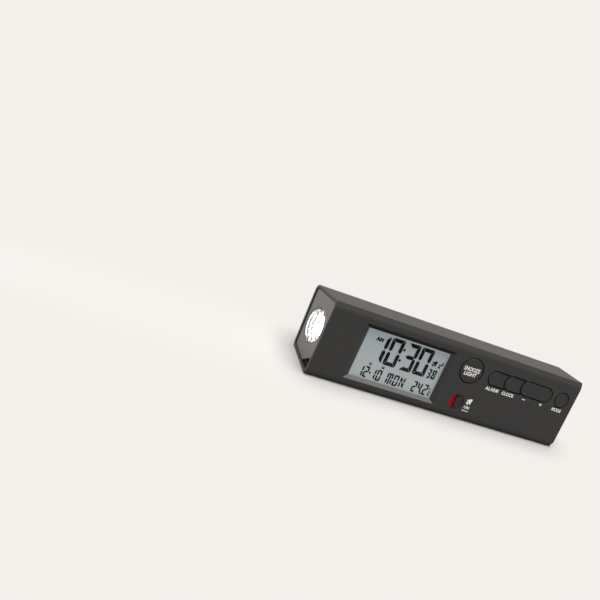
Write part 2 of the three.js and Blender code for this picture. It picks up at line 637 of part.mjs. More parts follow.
put("main_board", "board", mainBoard());
const partsBack = BOARD_BACK + GAP;
put("controller_chip", "epoxy", box(CHIP.x, [partsBack, partsBack + CHIP.height], CHIP.z));
put("crystal", "steel", rodZ(CRYSTAL.x, partsBack + CRYSTAL.radius, CRYSTAL.radius, ...CRYSTAL.z));
const canDepth = [partsBack, partsBack + CAPACITOR.height];
put("capacitor", "label", rodY(CAPACITOR.x, CAPACITOR.z, CAPACITOR.radius, ...canDepth, 20));
put("thermistor", "epoxy", box(THERMISTOR.x, [partsBack, partsBack + THERMISTOR.height], THERMISTOR.z));
const buzzerDepth = [partsBack, partsBack + BUZZER.height];
put("piezo_buzzer", "epoxy", rodY(BUZZER.x, BUZZER.z, BUZZER.radius, ...buzzerDepth, 32));

const snoozeFlange = circle(SNOOZE.x, SNOOZE.z, SNOOZE.radius + SNOOZE_LIP);
put("snooze_button", "key", pressKey(circle(SNOOZE.x, SNOOZE.z, SNOOZE.radius), snoozeFlange));
put("alarm_button", "key", scoopedKey(ALARM_X, CLOCK_X));
put("clock_button", "key", cut(scoopedKey(CLOCK_X, ROCKER.left), passingCap(ALARM_X, CLOCK_X)));
put("minus_plus_rocker", "key", rocker());
const modeFlange = circle(MODE.x, MODE.z, MODE.radius + KEY_LIP);
put("mode_button", "key", pressKey(circle(MODE.x, MODE.z, MODE.radius), modeFlange));

const TACTS = {
  snooze: [SNOOZE.x, SNOOZE.z],
  alarm: [ALARM_X + TACT_OFFSET.scoop, KEY_ROW],
  clock: [CLOCK_X + TACT_OFFSET.scoop, KEY_ROW],
  minus: [ROCKER.left, KEY_ROW],
  plus: [ROCKER.right, KEY_ROW],
  mode: [MODE.x + TACT_OFFSET.mode, MODE.z],
};
for (const [name, place] of Object.entries(TACTS)) {
  put(`tact_${name}`, "steel", tactSwitch(...place));
}

put("alarm_slider", "key", alarmSlider());
put("alarm_flag", "red", alarmFlag());
put("alarm_switch", "steel", alarmSwitch());

put("torch_button", "key", torchButton());
put("torch_switch", "epoxy", box(TORCH_SWITCH.x, [partsBack, TORCH_SWITCH.back], TORCH_SWITCH.z));

put("lamp_bezel", "silver", lampBezel());
put("lamp_lens", "clear", lampLens());
put("lamp_reflector", "chrome", lampReflector());
ledPlaces().forEach((place, i) => put(`lamp_led_${i + 1}`, "clear", lampLed(place)));
put("lamp_board", "board", box(LAMP_BOARD.x, LAMP_BOARD.y, LAMP_BOARD.z));

put("battery_tray", "casing", batteryTray());
const bayLeft = BAY.left + BAY.wall + GAP;
const bayRight = BAY.right - BAY.wall - GAP - CONTACT.thick;
const besideSpring = SPRING.height + 2 * SPRING.wire + SPRING.clear + 2 * GAP;
put("battery_cell_1", "label", batteryCell(bayLeft + besideSpring, CELL.z[0], 1));
const farCell = bayRight - besideSpring + CONTACT.thick - CELL.length;
put("battery_cell_2", "label", batteryCell(farCell, CELL.z[1], -1));
const [lowCell, highCell] = CELL.z;
put("contact_plate_link", "steel", contactPlate(bayLeft, lowCell - CONTACT.half, highCell + CONTACT.half));
put("contact_plate_plus", "steel", contactPlate(bayRight, lowCell - CONTACT.half, lowCell + CONTACT.half));
put("contact_plate_minus", "steel", contactPlate(bayRight, highCell - CONTACT.half, highCell + CONTACT.half));
const springStart = bayLeft + CONTACT.thick + GAP + SPRING.wire;
put("contact_spring_1", "steel", contactSpring(springStart, lowCell, 1));
put("contact_spring_2", "steel", contactSpring(bayRight - GAP - SPRING.wire, highCell, -1));

const coverScrews = BOSS_X.flatMap((x) => BOSS_Z.map((z) => [x, z]));
coverScrews.forEach(([x, z], i) => {
  const headTop = backPoint(z)[0] + SCREW.proud;
  put(`cover_screw_${i + 1}`, "steel", screw(x, z, headTop, headTop - SCREW.length));
});
TRAY_SCREW_X.forEach((x, i) => {
  const headTop = BOARD_BACK + BAY.floor + 2 * GAP + SCREW.headHeight;
  put(`tray_screw_${i + 1}`, "steel", screw(x, TRAY_SCREW_Z, headTop, FACE_WALL + TRAY_PILLAR.screwEnd));
});

// Lean the face back so that the base lies flat, with the origin at the middle of the base of its box.
clock.rotation.x = -LEAN;
clock.updateMatrixWorld(true);
const extent = new THREE.Box3().setFromObject(clock, true);
clock.position.set(-(extent.min.x + extent.max.x) / 2, -(extent.min.y + extent.max.y) / 2, -extent.min.z);

export default clock;
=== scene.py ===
"""A travel alarm clock with a torch in one end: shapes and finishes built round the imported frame."""

import json
import logging
import math
from collections.abc import Iterable, Sequence
from dataclasses import dataclass, field
from enum import Enum
from functools import cache
from itertools import pairwise

import bmesh
import bpy
from mathutils import Matrix, Vector


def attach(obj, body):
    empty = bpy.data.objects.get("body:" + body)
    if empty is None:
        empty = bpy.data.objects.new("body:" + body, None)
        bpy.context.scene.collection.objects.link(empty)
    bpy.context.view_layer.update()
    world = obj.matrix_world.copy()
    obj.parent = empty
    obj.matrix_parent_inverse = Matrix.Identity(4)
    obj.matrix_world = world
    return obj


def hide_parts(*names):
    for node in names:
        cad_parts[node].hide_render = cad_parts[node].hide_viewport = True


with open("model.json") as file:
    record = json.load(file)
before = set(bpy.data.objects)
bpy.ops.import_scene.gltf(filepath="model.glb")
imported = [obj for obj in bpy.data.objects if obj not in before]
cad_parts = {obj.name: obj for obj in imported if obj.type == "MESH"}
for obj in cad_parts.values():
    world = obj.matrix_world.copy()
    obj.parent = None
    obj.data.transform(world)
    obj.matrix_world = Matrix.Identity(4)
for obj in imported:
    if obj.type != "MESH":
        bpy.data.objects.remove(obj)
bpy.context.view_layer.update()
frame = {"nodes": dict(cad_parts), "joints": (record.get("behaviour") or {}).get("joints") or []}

MM = 0.001
ARC_STEPS = 6
SHARP = math.radians(19)
LOG = logging.getLogger("clock")

Point = tuple[float, float]
Place = tuple[float, float, float]
Ring = list[Vector]


class Cut(Enum):
    """What a carving tool does to the body it meets."""

    AWAY = "DIFFERENCE"
    ONTO = "UNION"
    SHARED = "INTERSECT"


class Digit(Enum):
    """A display character by its lit strokes: a to g round the figure eight, m upright, n slanting."""

    ZERO = "abcdef"
    ONE = "bc"
    TWO = "abged"
    THREE = "abgcd"
    FOUR = "fgbc"
    EIGHT = "abcdefg"
    LETTER_M = "abcefm"
    LETTER_N = "bcefn"


# ---- The drawing frame --------------------------------------------------------------------------
@dataclass(frozen=True)
class Bounds:
    """Lowest and highest place of a part along the face, into the casing and up the face, in mm."""

    x: Point
    y: Point
    z: Point

    @property
    def middle(self) -> Vector:
        """The box's middle."""
        return Vector([(low + high) / 2 for low, high in (self.x, self.y, self.z)])

    @property
    def size(self) -> Vector:
        """The box's three sides."""
        return Vector([high - low for low, high in (self.x, self.y, self.z)])


class FaceFrame:
    """The leaned-back face as a drawing board: x along the clock, y into it, z up the face, in mm."""

    def __init__(self) -> None:
        """Finds the face's directions from the joints and its corner from the casing."""
        axes = {joint["name"]: Vector(joint["axis"]).normalized() for joint in frame["joints"]}
        press, rise = axes["snooze_press"], axes["rocker_tilt"]
        turn = Matrix((press.cross(rise), press, rise))
        casing = [turn @ v.co for v in frame["nodes"]["front_shell"].data.vertices]
        corner = Vector([min(place[i] for place in casing) for i in range(3)])
        back = turn.transposed()
        self.to_row = Matrix.Translation(back @ corner) @ back.to_4x4() @ Matrix.Scale(MM, 4)
        self.from_row = self.to_row.inverted()

    def places(self, node: str) -> list[Vector]:
        """A node's vertices in mm on the drawing board."""
        return [self.from_row @ v.co for v in frame["nodes"][node].data.vertices]

    def box(self, node: str, deepest: float = math.inf) -> Bounds:
        """Where a node lies.

        Args:
            node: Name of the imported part.
            deepest: Vertices further into the casing than this are left out.

        Returns:
            The bounds of what is left, in mm.
        """
        kept = [place for place in self.places(node) if place.y < deepest]
        return Bounds(*[(min(p[i] for p in kept), max(p[i] for p in kept)) for i in range(3)])


FACE = FaceFrame()


# ---- Meshes -------------------------------------------------------------------------------------
def finished(made: bmesh.types.BMesh) -> bpy.types.Mesh:
    """Welds a built shape, turns its faces outwards and returns it as a mesh."""
    bmesh.ops.remove_doubles(made, verts=made.verts, dist=1e-4)
    bmesh.ops.dissolve_degenerate(made, edges=made.edges, dist=1e-5)
    bmesh.ops.recalc_face_normals(made, faces=made.faces)
    mesh = bpy.data.meshes.new("shape")
    made.to_mesh(mesh)
    made.free()
    return mesh


def loft(rings: Sequence[Ring], closed: bool = False) -> bpy.types.Mesh:
    """A skin over rings of equal length.

    Args:
        rings: The rings in order, each a closed loop.
        closed: Whether the last ring joins the first, so that there are no caps.

    Returns:
        The closed mesh.
    """
    made = bmesh.new()
    rows = [[made.verts.new(place) for place in ring] for ring in rings]
    count = len(rows[0])
    steps = list(pairwise(rows)) + ([(rows[-1], rows[0])] if closed else [])
    for near, far in steps:
        for i in range(count):
            j = (i + 1) % count
            made.faces.new((near[i], near[j], far[j], far[i]))
    if not closed:
        made.faces.new(rows[0][::-1])
        made.faces.new(rows[-1])
    return finished(made)


def merged(shapes: Iterable[bpy.types.Mesh]) -> bpy.types.Mesh:
    """Several meshes as one, each still its own shell."""
    made = bmesh.new()
    for shape in shapes:
        made.from_mesh(shape)
        bpy.data.meshes.remove(shape)
    mesh = bpy.data.meshes.new("shape")
    made.to_mesh(mesh)
    made.free()
    return mesh


def moved(shape: bpy.types.Mesh, x: float = 0, y: float = 0, z: float = 0) -> bpy.types.Mesh:
    """A copy of a mesh, carried by a distance."""
    copy = shape.copy()
    copy.transform(Matrix.Translation((x, y, z)))
    return copy


def held(data: bpy.types.ID) -> bpy.types.Object:
    """A bench object that holds a mesh or curve while it is worked on."""
    bench = bpy.data.objects.new("bench", data)
    bpy.context.scene.collection.objects.link(bench)
    return bench


def settled(bench: bpy.types.Object, *others: bpy.types.Object) -> bpy.types.Mesh:
    """The bench object's evaluated mesh, with the bench and its helpers cleared away."""
    graph = bpy.context.evaluated_depsgraph_get()
    mesh = bpy.data.meshes.new_from_object(bench.evaluated_get(graph))
    for used in (bench, *others):
        bpy.data.objects.remove(used)
    return mesh


def carve(
    body: bpy.types.Mesh, tools: Iterable[bpy.types.Mesh], how: Cut = Cut.AWAY
) -> bpy.types.Mesh:
    """Cuts tools out of a closed body, or joins them on.

    Args:
        body: The closed mesh that is worked on.
        tools: Closed meshes, used one after another.
        how: What each tool does.

    Returns:
        The new mesh.
    """
    bench = held(body)
    helpers = []
    for tool in tools:
        helper = held(tool)
        step = bench.modifiers.new("carve", "BOOLEAN")
        step.object, step.operation, step.solver = helper, how.value, "EXACT"
        helpers.append(helper)
    return settled(bench, *helpers)


def eased(start: float, radius: float, way: int = 1) -> list[Point]:
    """A quarter-round at an edge.

    Args:
        start: Place of the surface.
        radius: Radius of the round.
        way: 1 if places grow from the surface into the part, else -1.

    Returns:
        Pairs of place and of how far the outline is drawn in there.
    """
    turns = [math.pi / 2 * i / ARC_STEPS for i in range(ARC_STEPS + 1)]
    return [(start + way * radius * (1 - math.cos(a)), radius * (1 - math.sin(a))) for a in turns]


def hoop(x: float, y: float, z: float, radius: float, sides: int, shift: float = 0.0) -> Ring:
    """Places round a circle that faces along x, started a shift in radians from +y."""
    turns = [2 * math.pi * i / sides + shift for i in range(sides)]
    return [Vector((x, y + radius * math.cos(a), z + radius * math.sin(a))) for a in turns]


def lathe(
    profile: Sequence[Point], y: float, z: float, sides: int = 64, closed: bool = False
) -> bpy.types.Mesh:
    """A profile turned about a line along x.

    Args:
        profile: Pairs of radius and x.
        y: The line's depth.
        z: The line's height.
        sides: How many sides stand for the circle.
        closed: Whether the profile's end joins its start, as on a sleeve.

    Returns:
        The closed mesh.
    """
    return loft([hoop(x, y, z, radius, sides) for radius, x in profile], closed)


def block(bounds: Bounds, edge: float = 0.0, steps: int = 3) -> bpy.types.Mesh:
    """A box with rounded edges."""
    made = bmesh.new()
    bmesh.ops.create_cube(made, size=1.0)
    fit = Matrix.Translation(bounds.middle) @ Matrix.Diagonal((*bounds.size, 1))
    made.transform(fit)
    if edge:
        bmesh.ops.bevel(
            made, geom=made.edges[:], offset=edge, segments=steps, profile=0.5, affect="EDGES"
        )
    return finished(made)


# ---- Outlines on the face -----------------------------------------------------------------------
def arc(x: float, z: float, radius: float, start: float, end: float, steps: int) -> list[Point]:
    """Places along an arc, its angles in radians from +x towards +z."""
    turns = [start + (end - start) * i / steps for i in range(steps + 1)]
    return [(x + radius * math.cos(a), z + radius * math.sin(a)) for a in turns]


@dataclass(frozen=True)
class Outline:
    """A closed outline on the face that can be drawn larger or smaller."""

    def points(self, grow: float = 0.0) -> list[Point]:
        """The outline's places when it is grown by a distance."""
        raise NotImplementedError

    def solid(self, layers: Sequence[Point], lean: tuple[float, float] = (0, 0)) -> bpy.types.Mesh:
        """A solid with this outline.

        Args:
            layers: Pairs of depth and growth, from front to back.
            lean: Slope of the front along x, and the x where it starts.

        Returns:
            The closed mesh, its first ARC_STEPS + 1 layers sloped and the rest not.
        """
        slope, origin = lean
        rings = []
        for number, (depth, grow) in enumerate(layers):
            share = slope if number <= ARC_STEPS else 0.0
            rings.append([Vector((u, depth + share * (u - origin), v)) for u, v in self.points(grow)])
        return loft(rings)

    def opening(self, depth: float, ease: float = 0.15) -> bpy.types.Mesh:
        """A cutter for a hole from the face, with a softly rounded mouth."""
        return self.solid([(-1, ease), *eased(0, ease), (depth, 0)])


@dataclass(frozen=True)
class Disc(Outline):
    """A circle."""

    x: float
    z: float
    radius: float
    sides: int = 72

    def points(self, grow: float = 0.0) -> list[Point]:
        """The outline's places when it is grown by a distance."""
        return arc(self.x, self.z, self.radius + grow, 0, 2 * math.pi, self.sides)[:-1]


@dataclass(frozen=True)
class Stadium(Outline):
    """A long key's outline, round at both ends."""

    left: float
    right: float
    z: float
    radius: float
    steps: int = 32

    def points(self, grow: float = 0.0) -> list[Point]:
        """The outline's places when it is grown by a distance."""
        reach, half = self.radius + grow, math.pi / 2
        west = arc(self.left, self.z, reach, half, 3 * half, self.steps)
        return west + arc(self.right, self.z, reach, -half, half, self.steps)


@dataclass(frozen=True)
class Crescent(Outline):
    """A key that is round on the left and hollowed on the right by the next key's round end."""

    x: float
    next_x: float
    z: float
    radius: float
    hollow: float
    horn: float = 2.7
    steps: int = 32

    def points(self, grow: float = 0.0) -> list[Point]:
        """The outline's places when it is grown by a distance."""
        reach, hollow, horn = self.radius + grow, self.hollow - grow, self.horn - grow
        turn = math.acos(horn / hollow)
        west = arc(self.x, self.z, reach, math.pi / 2, 3 * math.pi / 2, self.steps)
        tip = self.next_x - horn
        bite = arc(self.next_x, self.z, hollow, math.pi + turn, math.pi - turn, self.steps)
        return [*west, (tip, self.z - reach), *bite, (tip, self.z + reach)]


@dataclass(frozen=True)
class Panel(Outline):
    """A rectangle with rounded corners."""

    left: float
    right: float
    foot: float
    top: float
    corner: float = 0.4

    def points(self, grow: float = 0.0) -> list[Point]:
        """The outline's places when it is grown by a distance."""
        round_off = max(self.corner + grow, 0.02)
        inner = round_off - grow
        quarter = math.pi / 2
        corners = [
            (self.right - inner, self.foot + inner, -quarter),
            (self.right - inner, self.top - inner, 0.0),
            (self.left + inner, self.top - inner, quarter),
            (self.left + inner, self.foot + inner, 2 * quarter),
        ]
        return [
            place
            for x, z, start in corners
            for place in arc(x, z, round_off, start, start + quarter, ARC_STEPS)
        ]


@dataclass(frozen=True)
class Almond(Outline):
    """What two equal circles share: the slide's knob, which fits its recess at either end."""

    x: float
    z: float
    radius: float
    travel: float
    steps: int = 28

    def points(self, grow: float = 0.0) -> list[Point]:
        """The outline's places when it is grown by a distance."""
        reach = self.radius + grow
        turn = math.acos(self.travel / 2 / reach)
        east = arc(self.x, self.z, reach, -turn, turn, self.steps)
        west = arc(self.x + self.travel, self.z, reach, math.pi - turn, math.pi + turn, self.steps)
        return east[:-1] + west[:-1]


# ---- The casing's cross-section -----------------------------------------------------------------
@dataclass(frozen=True)
class Section:
    """The casing's cross-section as (y, z) corners in mm, each with its rounding radius."""

    corners: tuple[Place, ...] = (
        (0.0, 2.7, 1.2),
        (0.08, 33.3, 5.4),
        (1.2, 36.2, 0.35),
        (24.55, 35.7, 2.9),
        (22.04, 5.5, 3.0),
        (1.5, 0.0, 0.35),
    )

    def sides(self) -> list[tuple[Vector, Vector]]:
        """Each side's start and its direction."""
        places = [Vector(corner[:2]) for corner in self.corners]
        return [(a, (b - a).normalized()) for a, b in zip(places, places[1:] + places[:1])]

    def inset(self, distances: Sequence[float]) -> list[Vector]:
        """The corners when each side is moved inwards by its own distance."""
        lines = [
            (start + Vector((run.y, -run.x)) * distance, run)
            for (start, run), distance in zip(self.sides(), distances)
        ]
        found = []
        for number, (start, run) in enumerate(lines):
            before, before_run = lines[number - 1]
            gap = start - before
            along = (gap.x * run.y - gap.y * run.x) / (before_run.x * run.y - before_run.y * run.x)
            found.append(before + before_run * along)
        return found

    def points(self, inset: float = 0.0, face: float | None = None) -> list[Point]:
        """The rounded outline, drawn in by a distance.

        Args:
            inset: How far each side moves inwards.
            face: Another distance for the front, if it has one.

        Returns:
            The outline's places, the same number for every inset.
        """
        distances = [inset if face is None else face] + [inset] * (len(self.corners) - 1)
        places = self.inset(distances)
        outline: list[Point] = []
        for number, place in enumerate(places):
            arrive = (place - places[number - 1]).normalized()
            leave = (places[(number + 1) % len(places)] - place).normalized()
            turn = arrive.angle(leave)
            radius = max(self.corners[number][2] - inset, 0.05)
            centre = place + (leave - arrive).normalized() * (radius / math.cos(turn / 2))
            spoke = place - arrive * radius * math.tan(turn / 2) - centre
            for step in range(ARC_STEPS + 1):
                angle = -turn * step / ARC_STEPS
                cos, sin = math.cos(angle), math.sin(angle)
                y, z = spoke.x * cos - spoke.y * sin, spoke.x * sin + spoke.y * cos
                outline.append((centre.x + y, centre.y + z))
        return outline

    def solid(self, layers: Sequence[Point], face: float | None = None) -> bpy.types.Mesh:
        """The section run along the clock, as pairs of x and inset."""
        return loft([[Vector((x, *p)) for p in self.points(inset, face)] for x, inset in layers])

    def back(self, z: float, below: float = 0.0) -> Point:
        """A place on the flat back at a height, and a depth below its surface."""
        top, foot = Vector(self.corners[3][:2]), Vector(self.corners[4][:2])
        run = (top - foot).normalized()
        place = foot + run * ((z - foot.y) / run.y) - Vector((run.y, -run.x)) * below
        return place.x, place.y

    def back_slab(self, bounds: Panel, layers: Sequence[Point]) -> bpy.types.Mesh:
        """A slab along the flat back.

        Args:
            bounds: Its outline, as x and height.
            layers: Pairs of depth below the back's surface and growth of the outline.

        Returns:
            The closed mesh.
        """
        rings = []
        for below, grow in layers:
            rings.append([Vector((x, *self.back(z, below))) for x, z in bounds.points(grow)])
        return loft(rings)


SECTION = Section()


# ---- Geometry Nodes -----------------------------------------------------------------------------
class Recipe:
    """A Geometry Nodes tree that makes what repeats, with named inputs for its sizes."""

    KINDS = {
        "count": "NodeSocketInt",
        "length": "NodeSocketFloat",
        "vector": "NodeSocketVector",
        "shape": "NodeSocketObject",
        "finish": "NodeSocketMaterial",
    }

    def __init__(self, name: str, **inputs: str) -> None:
        """Starts a tree.

        Args:
            name: The tree's name.
            inputs: Each input's name and kind, a key of KINDS.
        """
        self.tree = bpy.data.node_groups.new(name, "GeometryNodeTree")
        self.sockets: dict[str, str] = {}
        sides = self.tree.interface
        sides.new_socket("Geometry", in_out="INPUT", socket_type="NodeSocketGeometry")
        for label, kind in {**inputs, "Finish": "finish"}.items():
            made = sides.new_socket(label, in_out="INPUT", socket_type=self.KINDS[kind])
            self.sockets[label] = made.identifier
        sides.new_socket("Geometry", in_out="OUTPUT", socket_type="NodeSocketGeometry")
        self.start = self.tree.nodes.new("NodeGroupInput")
        self.end = self.tree.nodes.new("NodeGroupOutput")

    def node(self, kind: str, links: dict[str | int, object], **settings: object) -> bpy.types.Node:
        """Adds a node.

        Args:
            kind: The node's type without its GeometryNode prefix, or a full type name.
            links: Inputs by name or number, each an output socket, an input's name or a value.
            settings: The node's own properties.

        Returns:
            The node.
        """
        full = kind if kind.startswith("ShaderNode") else f"GeometryNode{kind}"
        made = self.tree.nodes.new(full)
        for key, value in settings.items():
            setattr(made, key, value)
        for key, value in links.items():
            socket = made.inputs[key]
            if isinstance(value, str) and value in self.sockets:
                value = self.start.outputs[value]
            if isinstance(value, bpy.types.NodeSocket):
                self.tree.links.new(value, socket)
            else:
                socket.default_value = value
        return made

    def close(self, shape: bpy.types.NodeSocket) -> "Recipe":
        """Ends the tree in Realize Instances and Set Material."""
        real = self.node("RealizeInstances", {"Geometry": shape})
        dressed = self.node("SetMaterial", {"Geometry": real.outputs[0], "Material": "Finish"})
        self.tree.links.new(dressed.outputs[0], self.end.inputs[0])
        return self

    def cook(self, start: bpy.types.Mesh, finish: bpy.types.Material, **sizes: object) -> bpy.types.Mesh:
        """Runs the tree.

        Args:
            start: The mesh that goes in.
            finish: The material that it sets.
            sizes: A value for each named input.

        Returns:
            The plain mesh, with the modifier gone.
        """
        bench = held(start)
        step = bench.modifiers.new("recipe", "NODES")
        step.node_group = self.tree
        for label, value in {**sizes, "Finish": finish}.items():
            step[self.sockets[label]] = value
        return settled(bench)


class Recipes:
    """The trees that this clock needs, each built once."""

    def __init__(self) -> None:
        """Builds the trees."""
        self.row = self._row()
        self.ring = self._ring()
        self.coil = self._coil()
        self.at_points = self._at_points()

    @staticmethod
    def _row() -> Recipe:
        """Copies of a shape at equal steps along a line, as ribs and grooves are."""
        made = Recipe("row_of_ribs", Count="count", Step="vector")
        line = made.node("MeshLine", {"Count": "Count", "Offset": "Step"}, mode="OFFSET")
        shape = made.start.outputs["Geometry"]
        copies = made.node("InstanceOnPoints", {"Points": line.outputs[0], "Instance": shape})
        return made.close(copies.outputs[0])

    @staticmethod
    def _ring() -> Recipe:
        """Copies of a shape round a circle, as sound holes and lamp beads are."""
        made = Recipe("ring_of_parts", Count="count", Radius="length", Turn="vector", Phase="length")
        circle = made.node("MeshCircle", {"Vertices": "Count", "Radius": "Radius"})
        spin = made.node("ShaderNodeCombineXYZ", {"Z": "Phase"})
        spun = made.node("Transform", {"Geometry": circle.outputs[0], "Rotation": spin.outputs[0]})
        laid = made.node("Transform", {"Geometry": spun.outputs[0], "Rotation": "Turn"})
        shape = made.start.outputs["Geometry"]
        copies = made.node("InstanceOnPoints", {"Points": laid.outputs[0], "Instance": shape})
        return made.close(copies.outputs[0])

    @staticmethod
    def _coil() -> Recipe:
        """A conical coil of round wire."""
        made = Recipe(
            "wound_wire", Turns="length", Wide="length", Narrow="length", Height="length", Wire="length"
        )
        path = made.node(
            "CurveSpiral",
            {
                "Resolution": 40,
                "Rotations": "Turns",
                "Start Radius": "Wide",
                "End Radius": "Narrow",
                "Height": "Height",
            },
        )
        wire = made.node("CurvePrimitiveCircle", {"Resolution": 10, "Radius": "Wire"})
        skin = made.node(
            "CurveToMesh",
            {"Curve": path.outputs[0], "Profile Curve": wire.outputs[0], "Fill Caps": True},
        )
        return made.close(skin.outputs[0])

    @staticmethod
    def _at_points() -> Recipe:
        """A copy of a shape at each vertex of the mesh that goes in, as screws are."""
        made = Recipe("fasteners_at_points", Shape="shape")
        info = made.node("ObjectInfo", {"Object": "Shape"})
        copies = made.node(
            "InstanceOnPoints",
            {"Points": made.start.outputs["Geometry"], "Instance": info.outputs["Geometry"]},
        )
        return made.close(copies.outputs[0])


def points_mesh(places: Iterable[Sequence[float]]) -> bpy.types.Mesh:
    """A mesh of loose vertices."""
    mesh = bpy.data.meshes.new("places")
    mesh.from_pydata([tuple(place) for place in places], [], [])
    return mesh


# ---- Shared shader effects ----------------------------------------------------------------------
class Effect:
    """A shader node group with named inputs and outputs, shared by the finishes."""

    def __init__(self, name: str, inputs: dict[str, float], outputs: Sequence[str]) -> None:
        """Starts a group.

        Args:
            name: The group's name.
            inputs: Each input's name and usual value.
            outputs: The outputs' names.
        """
        self.tree = bpy.data.node_groups.new(name, "ShaderNodeTree")
        for label, usual in inputs.items():
            made = self.tree.interface.new_socket(label, in_out="INPUT", socket_type="NodeSocketFloat")
            made.default_value = usual
        for label in outputs:
            self.tree.interface.new_socket(label, in_out="OUTPUT", socket_type="NodeSocketFloat")
        self.start = self.tree.nodes.new("NodeGroupInput")
        self.end = self.tree.nodes.new("NodeGroupOutput")
        self.place = self.tree.nodes.new("ShaderNodeTexCoord").outputs["Object"]

    def node(self, kind: str, links: dict[str | int, object], **settings: object) -> bpy.types.Node:
        """Adds a node and links or sets its inputs."""
        made = self.tree.nodes.new(f"ShaderNode{kind}")
        for key, value in settings.items():
            setattr(made, key, value)
        for key, value in links.items():
            socket = made.inputs[key]
            if isinstance(value, bpy.types.NodeSocket):
                self.tree.links.new(value, socket)
            else:
                socket.default_value = value
        return made

    def give(self, label: str, source: bpy.types.NodeSocket) -> None:
        """Joins a result to one of the group's outputs."""
        self.tree.links.new(source, self.end.inputs[label])


class Effects:
    """The shared effects: moulded grain, handling marks and drawn metal."""

    def __init__(self) -> None:
        """Builds the groups."""
        self.grain = self._grain()
        self.handling = self._handling()
        self.drawn = self._drawn()

    @staticmethod
    def _grain() -> Effect:
        """Spark-eroded grain of moulded plastic: its height, and the speckle that it makes."""
        made = Effect("moulded_grain", {"Size": 3200.0}, ["Height", "Speckle"])
        size = made.start.outputs["Size"]
        fine = made.node("TexNoise", {"Vector": made.place, "Scale": size, "Detail": 2.0})
        wider = made.node("Math", {0: size, 1: 0.31}, operation="MULTIPLY")
        coarse = made.node("TexNoise", {"Vector": made.place, "Scale": wider.outputs[0], "Detail": 1.0})
        both = made.node("Math", {0: fine.outputs[0], 1: coarse.outputs[0]}, operation="MULTIPLY_ADD")
        made.tree.links.new(coarse.outputs[0], both.inputs[2])
        made.give("Height", both.outputs[0])
        made.give("Speckle", fine.outputs[0])
        return made

    @staticmethod
    def _handling() -> Effect:
        """Soft marks where hands have polished the surface, and the dust between them."""
        made = Effect("handling_marks", {"Size": 60.0, "Contrast": 0.5}, ["Polish", "Dust"])
        size = made.start.outputs["Size"]
        marks = made.node(
            "TexNoise", {"Vector": made.place, "Scale": size, "Detail": 5.0, "Distortion": 0.6}
        )
        spread = made.node(
            "MapRange", {"Value": marks.outputs[0], "From Min": 0.32, "From Max": 0.7, "To Max": 1.0}
        )
        made.tree.links.new(made.start.outputs["Contrast"], spread.inputs["To Max"])
        made.give("Polish", spread.outputs[0])
        finer = made.node("Math", {0: size, 1: 22.0}, operation="MULTIPLY")
        specks = made.node("TexNoise", {"Vector": made.place, "Scale": finer.outputs[0], "Detail": 3.0})
        rare = made.node(
            "MapRange", {"Value": specks.outputs[0], "From Min": 0.62, "From Max": 0.8, "To Max": 1.0}
        )
        made.give("Dust", rare.outputs[0])
        return made

    @staticmethod
    def _drawn() -> Effect:
        """Fine lines along the clock, as on rolled or drawn metal."""
        made = Effect("drawn_lines", {"Size": 900.0}, ["Height", "Streak"])
        long_way = made.node("Mapping", {"Vector": made.place, "Scale": (0.06, 1.0, 1.0)})
        lines = made.node("TexNoise", {"Vector": long_way.outputs[0], "Detail": 3.0})
        made.tree.links.new(made.start.outputs["Size"], lines.inputs["Scale"])
        made.give("Height", lines.outputs[0])
        made.give("Streak", lines.outputs[0])
        return made


EFFECTS = Effects()


# ---- Finishes -----------------------------------------------------------------------------------
Colour = tuple[float, float, float]


DUST: Colour = (0.42, 0.4, 0.37)


def placed(tree: bpy.types.NodeTree, effect: Effect, **values: float) -> bpy.types.Node:
    """Places a shared effect in a material with its own values."""
    node = tree.nodes.new("ShaderNodeGroup")
    node.node_tree = effect.tree
    for label, value in values.items():
        node.inputs[label].default_value = value
    return node


def roughen(
    tree: bpy.types.NodeTree, shader: bpy.types.Node, marks: bpy.types.Node, limits: Point
) -> None:
    """Lets handling marks move a shader's roughness between two limits."""
    rough = tree.nodes.new("ShaderNodeMapRange")
    rough.inputs["To Min"].default_value, rough.inputs["To Max"].default_value = limits
    tree.links.new(marks.outputs["Polish"], rough.inputs["Value"])
    tree.links.new(rough.outputs[0], shader.inputs["Roughness"])


